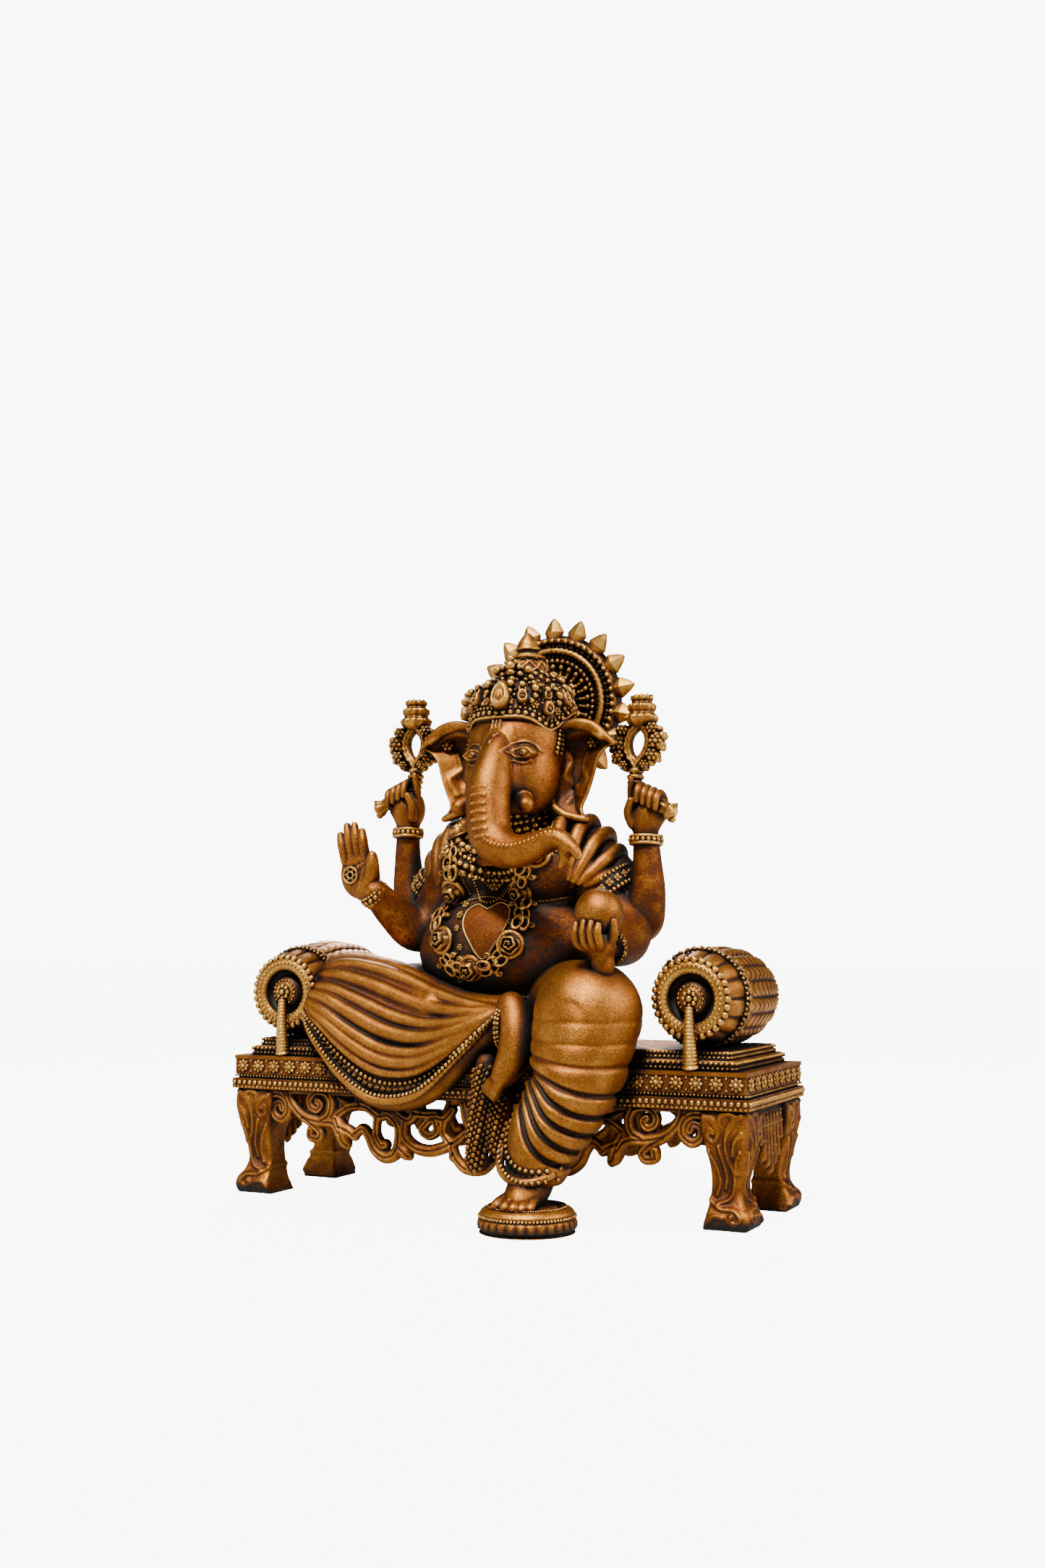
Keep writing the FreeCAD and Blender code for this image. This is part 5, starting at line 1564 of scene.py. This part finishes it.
def make_emblems():
    """A stem opening into an almond frame with bead clusters, under a tiered finial; and the barred handle."""
    for name, bar, side, lift, lean in (("goad_right", "goad_handle", -1, 1.6, 0.0),
                                        ("noose_left", "noose_handle", 1, -0.9, 0.11)):
        trim = Trim()

        def at(dx, dz, y=2.0):
            return np.array([MIDDLE + side * 27.6 + dx + lean * (dz - 98.6), y, dz + lift])
        frame_line = [at(0, 92.6), at(-0.2, 94.6), at(-1.9, 96.6), at(-2.7, 99.2), at(-2.2, 101.6),
                      at(-0.3, 103.8)]
        for flip in (1, -1):
            line = spline([(p[0] if flip > 0 else 2 * at(0, z0)[0] - p[0], p[1], p[2]) for p, z0 in
                           zip(frame_line, (92.6, 94.6, 96.6, 99.2, 101.6, 103.8))], 6)
            trim.tube(line, 1.4, sides=10)
            trim.tube(line - (0, 1.15, 0), 0.55, sides=8, twist=2.0, lobes=2)
            for dx, dz, size in ((4.2, 96.6, 1.0), (4.9, 98.8, 1.15), (5.6, 100.6, 0.8),
                                 (4.1, 100.6, 1.05), (3.7, 98.6, 0.9), (3.3, 95.2, 0.85),
                                 (3.2, 102.4, 0.9), (4.6, 102.2, 0.6), (5.7, 98.0, 0.6), (2.2, 94.0, 0.7),
                                 (4.9, 95.6, 0.6)):
                for y in (1.0, 2.4):
                    trim.add(BALL, [at(flip * dx, dz, y)], size * 1.2)
            for dx, dz, size in ((4.5, 99.4, 1.7), (3.9, 96.6, 1.5), (3.4, 102.3, 1.4), (2.4, 94.6, 1.1)):
                trim.add(FLOWER6, [at(flip * dx, dz, 0.1)], size, facing([(0.35, -1, 0)]), (1, 1, 1.3))
        trim.tube(spline([at(0.1, 87.5), at(0.0, 90.5), at(0, 93.4)], 4), 1.2, sides=10)
        for dz, radius in ((89.6, 1.5), (90.8, 1.8), (92.0, 2.0), (93.4, 1.9)):
            trim.add(BALL, [at(0, dz)], radius, None, (1, 1, 0.5))
        tiers = ((0.02, 102.6), (2.4, 103.0), (3.4, 104.2), (3.4, 105.2), (2.7, 105.7), (2.7, 106.2),
                 (3.0, 106.7), (2.9, 107.6),
                 (2.2, 108.0), (2.1, 108.4), (2.4, 108.8), (2.2, 109.6), (0.02, 110.0))
        points, faces = turned([(r, z + lift) for r, z in tiers], at(0, 106.5) * (1, 1, 0), sides=64,
                               per_span=3,
                               wave=lambda turn, share: 0.16 * np.cos(10 * turn) * (share > 0.1))
        trim.mesh(points, faces, 0.05)
        for dz, radius, count in ((104.9, 3.3, 14), (107.3, 2.8, 12), (109.5, 1.9, 9)):
            trim.beads(ring_path(at(0, dz), (0, 0, 1), radius, count + 1), 0.42,
                       2 * math.pi * radius / count)
        trim.make(name, JEWEL, "ornament_resin", (name,))
        handle = Trim()
        start, end = on_side(side, ((30.4, 1.0, 88.6), (38.2, -0.2, 84.4)))
        start[2] += FIST_LIFT[side]
        end[2] += FIST_LIFT[side]
        share = np.linspace(0, 1, 14)
        radius = np.interp(share, (0, 0.62, 0.7, 0.86, 1), (1.15, 1.15, 1.5, 1.35, 2.1))
        path = start + (end - start) * share[:, None]
        handle.tube(np.column_stack([path, radius]), sides=20, lobes=5, lobe_depth=0.16)
        handle.add(BALL, [end + (0, 0, 1.2), end + (0, -1.0, 0.2), end + (0, 0.2, -1.4)], 0.8)
        handle.make(bar, JEWEL, "ornament_resin", (bar,))


# ================================================================ jewellery and shoulder cloth
def onto(clay, line, spacing=None):
    """Drops an (x, z) line onto the front of the clay: places, normals and directions along it."""
    path = spline([(x, -40.0, z) for x, z in line], 8)
    starts = evenly(path, spacing)[0] if spacing else path
    spots, normals, met = clay.meet(starts, (0, 1, 0))
    spots, normals = spots[met], normals[met]
    ahead = np.gradient(spots, axis=0)
    return spots, normals, ahead / (np.linalg.norm(ahead, axis=1)[:, None] + 1e-9)


def along_surface(ahead, normals):
    """Turning matrices with the second axis along a line and the third out of the surface."""
    u = np.cross(ahead, normals)
    u /= np.linalg.norm(u, axis=1)[:, None] + 1e-9
    return np.stack([u, np.cross(normals, u), normals], 2)


def link_mesh():
    """A unit oval link lying in its own XY plane."""
    t = 2 * math.pi * np.arange(16) / 16
    s = 2 * math.pi * np.arange(6) / 6
    radius = 1 + 0.34 * np.cos(s)
    points = np.stack([0.62 * radius * np.cos(t)[:, None], radius * np.sin(t)[:, None],
                       0.34 * np.sin(s) + 0 * t[:, None]], 2)
    faces = [(i * 6 + j, (i + 1) % 16 * 6 + j, (i + 1) % 16 * 6 + (j + 1) % 6, i * 6 + (j + 1) % 6)
             for i in range(16) for j in range(6)]
    return points.reshape(-1, 3), np.array(faces)


ROSES = ((-9.2, 78.6), (-8.1, 66.9), (-8.7, 56.0), (-1.5, 50.2), (7.5, 55.2), (7.6, 66.4), (12.4, 74.0))
GARLAND = (((-9.6, 82.6), (-9.2, 78.6), (-7.9, 73.0), (-8.1, 66.9), (-10.2, 62.8), (-11.0, 59.3),
            (-8.7, 56.0), (-7.6, 52.0), (-5.2, 50.2), (-1.5, 50.2),
            (3.4, 50.9), (7.5, 55.2), (9.2, 58.8), (8.7, 62.9), (7.6, 66.4), (9.6, 70.4), (12.4, 74.0),
            (14.2, 78.0), (14.6, 81.6)))
HEART_LINE = ((1.4, 62.4), (3.6, 63.7), (6.0, 62.8), (6.6, 60.0), (4.8, 56.2), (1.5, 52.2), (-1.5, 55.6),
              (-3.6, 59.2), (-3.3, 62.0), (-0.9, 63.4))


def make_garland(body):
    trim = Trim()
    spots, normals, ahead = onto(body, GARLAND, 2.05)
    gap = np.min(np.linalg.norm(spots[:, None, [0, 2]] - np.array(ROSES)[None], axis=2), axis=1)
    chain = gap > 2.6
    link = link_mesh()
    for offset in (-0.72, 0.72):
        side = np.cross(ahead, normals) * offset
        sway = np.sin(np.arange(len(spots)) * 2.1 + offset)[:, None]
        trim.add(link, (spots + normals * (0.75 + 0.2 * sway) + side)[chain],
                 (1.4 + 0.16 * sway[:, 0])[chain],
                 along_surface(ahead + 0.3 * sway * np.cross(ahead, normals), normals)[chain])
    trim.add(BALL, (spots + normals * 0.9)[chain] + ahead[chain] * 1.02, 0.62)
    for offset in (-2.4, 2.4):
        side = np.cross(ahead, normals) * offset
        trim.add(DROP, (spots + normals * 0.2 + side)[chain][::2], 1.25,
                 facing(normals[chain][::2], 1.57 * np.sign(offset)), (1, 1, 1.4))
    roses, rose_out, met = body.meet([(x, -40.0, z) for x, z in ROSES], (0, 1, 0))
    trim.add(ROSE, roses[met] + rose_out[met] * 0.5, 2.45, facing(rose_out[met]), (1, 1, 1.5))
    trim.add(link, roses[met] + rose_out[met] * 0.45, 2.5, facing(rose_out[met]), (1.55, 1, 0.7))
    trim.make("garland", JEWEL, "ornament_resin", ("garland",))

    outline = spline(HEART_LINE, 6, closed=True)
    clay = Clay((-6, -20, 50), (9, -9, 66), 0.15)
    clay.panel(outline, lambda x, z: -12.0 + 0 * x + 0 * z, 6.0)
    grid = np.stack(np.meshgrid(*[clay.low[k] + clay.cell * np.arange(clay.d.shape[k]) for k in range(3)],
                                indexing="ij"), -1)
    skin = body.sample(grid)
    clay.d = np.maximum(np.maximum(clay.d, skin - 0.55), -skin - 1.2).astype(np.float32)
    sculpt("heart_pendant", clay, HEART, "pendant_resin", ("heart_pendant",))
    trim = Trim()
    edge, out, _ = onto(body, np.vstack([outline, outline[:1]])[::3])
    trim.tube(edge + out * 0.5, 0.22)
    for line, size in ((((-4.4, 78), (-3.4, 70), (-2.9, 66.6), (-1.2, 64.4), (1.1, 63.9), (3.2, 64.8),
                         (4.2, 67.0), (5.2, 70.6), (6.4, 75.6)), 0.36),
                       (((-6.0, 76), (-5.6, 70), (-4.6, 66)), 0.3),
                       (((-1.6, 72), (1.2, 69.4), (3.8, 72)), 0.5),
                       (((-2.2, 69.6), (1.0, 66.8), (3.8, 69.6)), 0.42),
                       (((-12.6, 64.6), (-8, 63.6), (0, 65.2), (8, 63.8), (16.4, 65.4)), 0.3)):
        at, out, _ = onto(body, line)
        trim.beads(at + out * 0.2, size)
    for x, z, size in ((1.2, 67.8, 1.7), (-0.8, 70.6, 1.2), (3.0, 70.8, 1.2), (-4.6, 63.6, 1.0),
                       (-5.2, 61.4, 1.1), (-5.4, 58.6, 0.9), (9.8, 65.6, 0.9),
                       (-4.2, 54.6, 0.9), (5.6, 53.2, 0.9), (7.4, 58.6, 0.9)):
        met, normal = body.meet([(x, -40.0, z)], (0, 1, 0))[:2]
        trim.add(FLOWER6, met, size, facing(normal))
    trim.make("chest_chains", JEWEL, "ornament_resin")


def make_collar(body):
    low, high = node_box("collar")
    axis = unit((0, -0.42, 1))
    centre = np.array((MIDDLE + 0.2, -0.6, 79.4))
    clay = Clay(low - 2, high + 2, 0.25)
    clay.ring(centre, axis, 9.8, 2.0)
    clay.ring(centre - axis * 2.6 + (0, -1.2, 0), axis, 11.0, 1.7, 1.0)
    sculpt("collar", clay, DARK, "ornament_resin", ("collar",))
    trim = Trim()
    for row in range(9):
        wide, drop = 8.2 + row * 1.05, 2.6 + row * 1.5
        line = [(MIDDLE + wide * across, 85.4 - row * 0.25 - drop * down) for across, down in
                ((-1, 0), (-0.86, 0.5), (-0.5, 0.86), (0, 1), (0.5, 0.86), (0.86, 0.5), (1, 0))]
        size = (0.72, 0.52, 0.8, 0.55, 0.65, 0.8, 0.5, 0.7, 0.56)[row]
        at, out, _ = onto(body, line, size * 2.0)
        trim.add(BALL, at + out * (0.25 + 0.2 * (row % 2)), size)
        trim.add(BALL, at[::3] + out[::3] * 0.8, size * 0.8)
    trim.make("collar_beads", COLLAR, "ornament_resin")


SHAWL_FOLDS = (     # ridges from the armpit over the shoulder, on the figure's left
    ((16.4, -8.6, 70.0), (15.4, -8.0, 75.0), (14.2, -4.6, 80.6), (14.2, 2.0, 83.6), (13.6, 8.0, 80.0)),
    ((17.4, -8.0, 69.2), (17.6, -6.8, 74.0), (18.0, -3.2, 79.6), (18.4, 2.8, 82.0), (17.6, 9.0, 78.0)),
    ((18.4, -7.2, 68.6), (19.8, -5.4, 72.6), (21.2, -2.0, 77.2), (22.0, 3.5, 79.2), (20.8, 9.0, 75.6)),
    ((19.4, -6.4, 68.2), (21.8, -4.2, 71.0), (23.8, -1.0, 73.8), (24.6, 3.6, 75.4), (23.4, 9.0, 72.0)),
    ((20.4, -5.4, 67.8), (23.0, -3.2, 69.2), (25.4, 0.0, 70.4), (26.2, 3.8, 71.6), (25.0, 8.6, 69.0)),
)


def make_shawls():
    for name, side in (("left", 1), ("right", -1)):
        corners = on_side(side, ((8, -12, 60), (30, 14, 88)))
        clay = Clay(corners.min(0), corners.max(0), 0.2)
        ends = on_side(side, ((16.0, 2.8, 75.4), (20.6, 3.2, 70.6)))
        clay.limb(ends[0], ends[1], 6.6, 6.0)
        clay.limb(*on_side(side, ((14.4, -4.4, 76.6), (16.4, -5.2, 69.0))), 2.6, 2.4, 2.0)
        for fold in SHAWL_FOLDS:
            rows = np.column_stack([on_side(side, fold), (0.7, 1.35, 1.6, 1.6, 1.1)])
            clay.sweep(rows, 6, blend=0.55, inner=0.3)
        sculpt("shawl_" + name, clay, CLOTH, "cloth_resin", ("shawl_" + name,))
        trim = Trim()
        hem = on_side(side, ((13.2, -9.0, 67.6), (13.0, -8.4, 74.6), (12.8, -5.4, 80.8),
                             (12.8, 1.8, 84.4)))
        trim.tube(spline(hem, 8), 0.42, sides=8, twist=1.6, lobes=2)
        trim.make("shawl_edge_" + name, JEWEL, "cloth_resin")
        elbow = on_side(side, ((23.2, 2.2, 66.6), (20.2, 1.8, 70.8)))
        axis = elbow[1] - elbow[0]
        band = Trim()
        along = unit(axis)
        points, faces = turned(((5.4, -1.7), (6.4, -1.6), (6.5, 0), (6.4, 1.6), (5.4, 1.7), (5.2, 0),
                                (5.4, -1.7)), elbow[0] + along * 0.6, axis, 48, 2)
        band.mesh(points, faces, -0.1)
        for offset, size in ((-1.1, 0.5), (2.3, 0.5)):
            band.beads(ring_path(elbow[0] + along * offset, axis, 6.5), size)
        flowers = ring_path(elbow[0] + along * 0.6, axis, 6.5, 21)[:-1]
        band.add(FLOWER4, flowers, 1.05, facing(flowers - (elbow[0] + along * 0.6)))
        band.make("armlet_" + name, JEWEL, "ornament_resin", ("armlet_" + name,))


def make_sash():
    """The patterned end of the sash, hanging in front of the apron behind the folded foot."""
    clay = Clay((-4, -25, 6), (12, -17, 33), 0.2)
    clay.sweep(((5.0, -21.4, 31.0, 2.0), (4.6, -21.2, 24.0, 2.6), (3.4, -20.9, 17.0, 2.5),
                (2.6, -20.8, 10.4, 1.9)), 5, inner=0.5)
    clay.sweep(((8.6, -21.0, 28.0, 1.8), (8.2, -20.8, 21.0, 2.3), (7.4, -20.8, 14.0, 1.8)), 5, blend=0.6,
               inner=0.5)
    sculpt("sash_tassel", clay, DARK, "cloth_resin", ("sash_tassel",))
    order = np.arange(230)
    x, z = -0.6 + (order * 0.618 % 1) * 10.8, 8.5 + 22 * (order + 0.5) / 230
    starts = np.stack([x, np.full(230, -40.0), z], 1)
    met, normal, good = clay.meet(starts, (0, 1, 0))
    trim = Trim()
    trim.add(BALL, met[good] + normal[good] * 0.1, 0.5 + 0.14 * np.sin(order[good] * 1.9))
    trim.make("sash_beads", DARK, "cloth_resin")


def make_waist(body):
    """Rolled cloth with a rough woven face, between the belly and the folded leg."""
    trim = Trim()
    for start, (xs, z0, z1) in enumerate((((-22, 14), 45.5, 43.5), ((-20, 16), 44.2, 41.8))):
        order = np.arange(90)
        x = np.linspace(xs[0], xs[1], 90)
        z = np.interp(x, xs, (z0, z1)) + 0.5 * np.sin(order * 2.1 + start)
        met, normal, good = body.meet(np.stack([x, np.full(90, -40.0), z], 1), (0, 1, 0))
        trim.add(BALL, met[good] + normal[good] * 0.1, 0.55 + 0.15 * np.sin(order[good] * 1.3))
    trim.make("waist_beads", DARK, "cloth_resin")


make_floor()
make_lights()
make_camera()
head_clay = make_head()
body_clay = make_torso()
make_ears()
make_crown(head_clay)
make_halo()
make_fists()
make_blessing_hand()
make_sweet_hand()
make_bangles()
make_emblems()
make_garland(body_clay)
make_collar(body_clay)
make_shawls()
make_sash()
make_waist(body_clay)
make_arms()
make_dhoti_right()
make_dhoti_left()
make_feet()
make_footstool()
make_legs()
make_long_aprons()
make_short_aprons()
make_slab()
make_mattress()
make_bolster("left", 48.0)
make_bolster("right", -48.0)
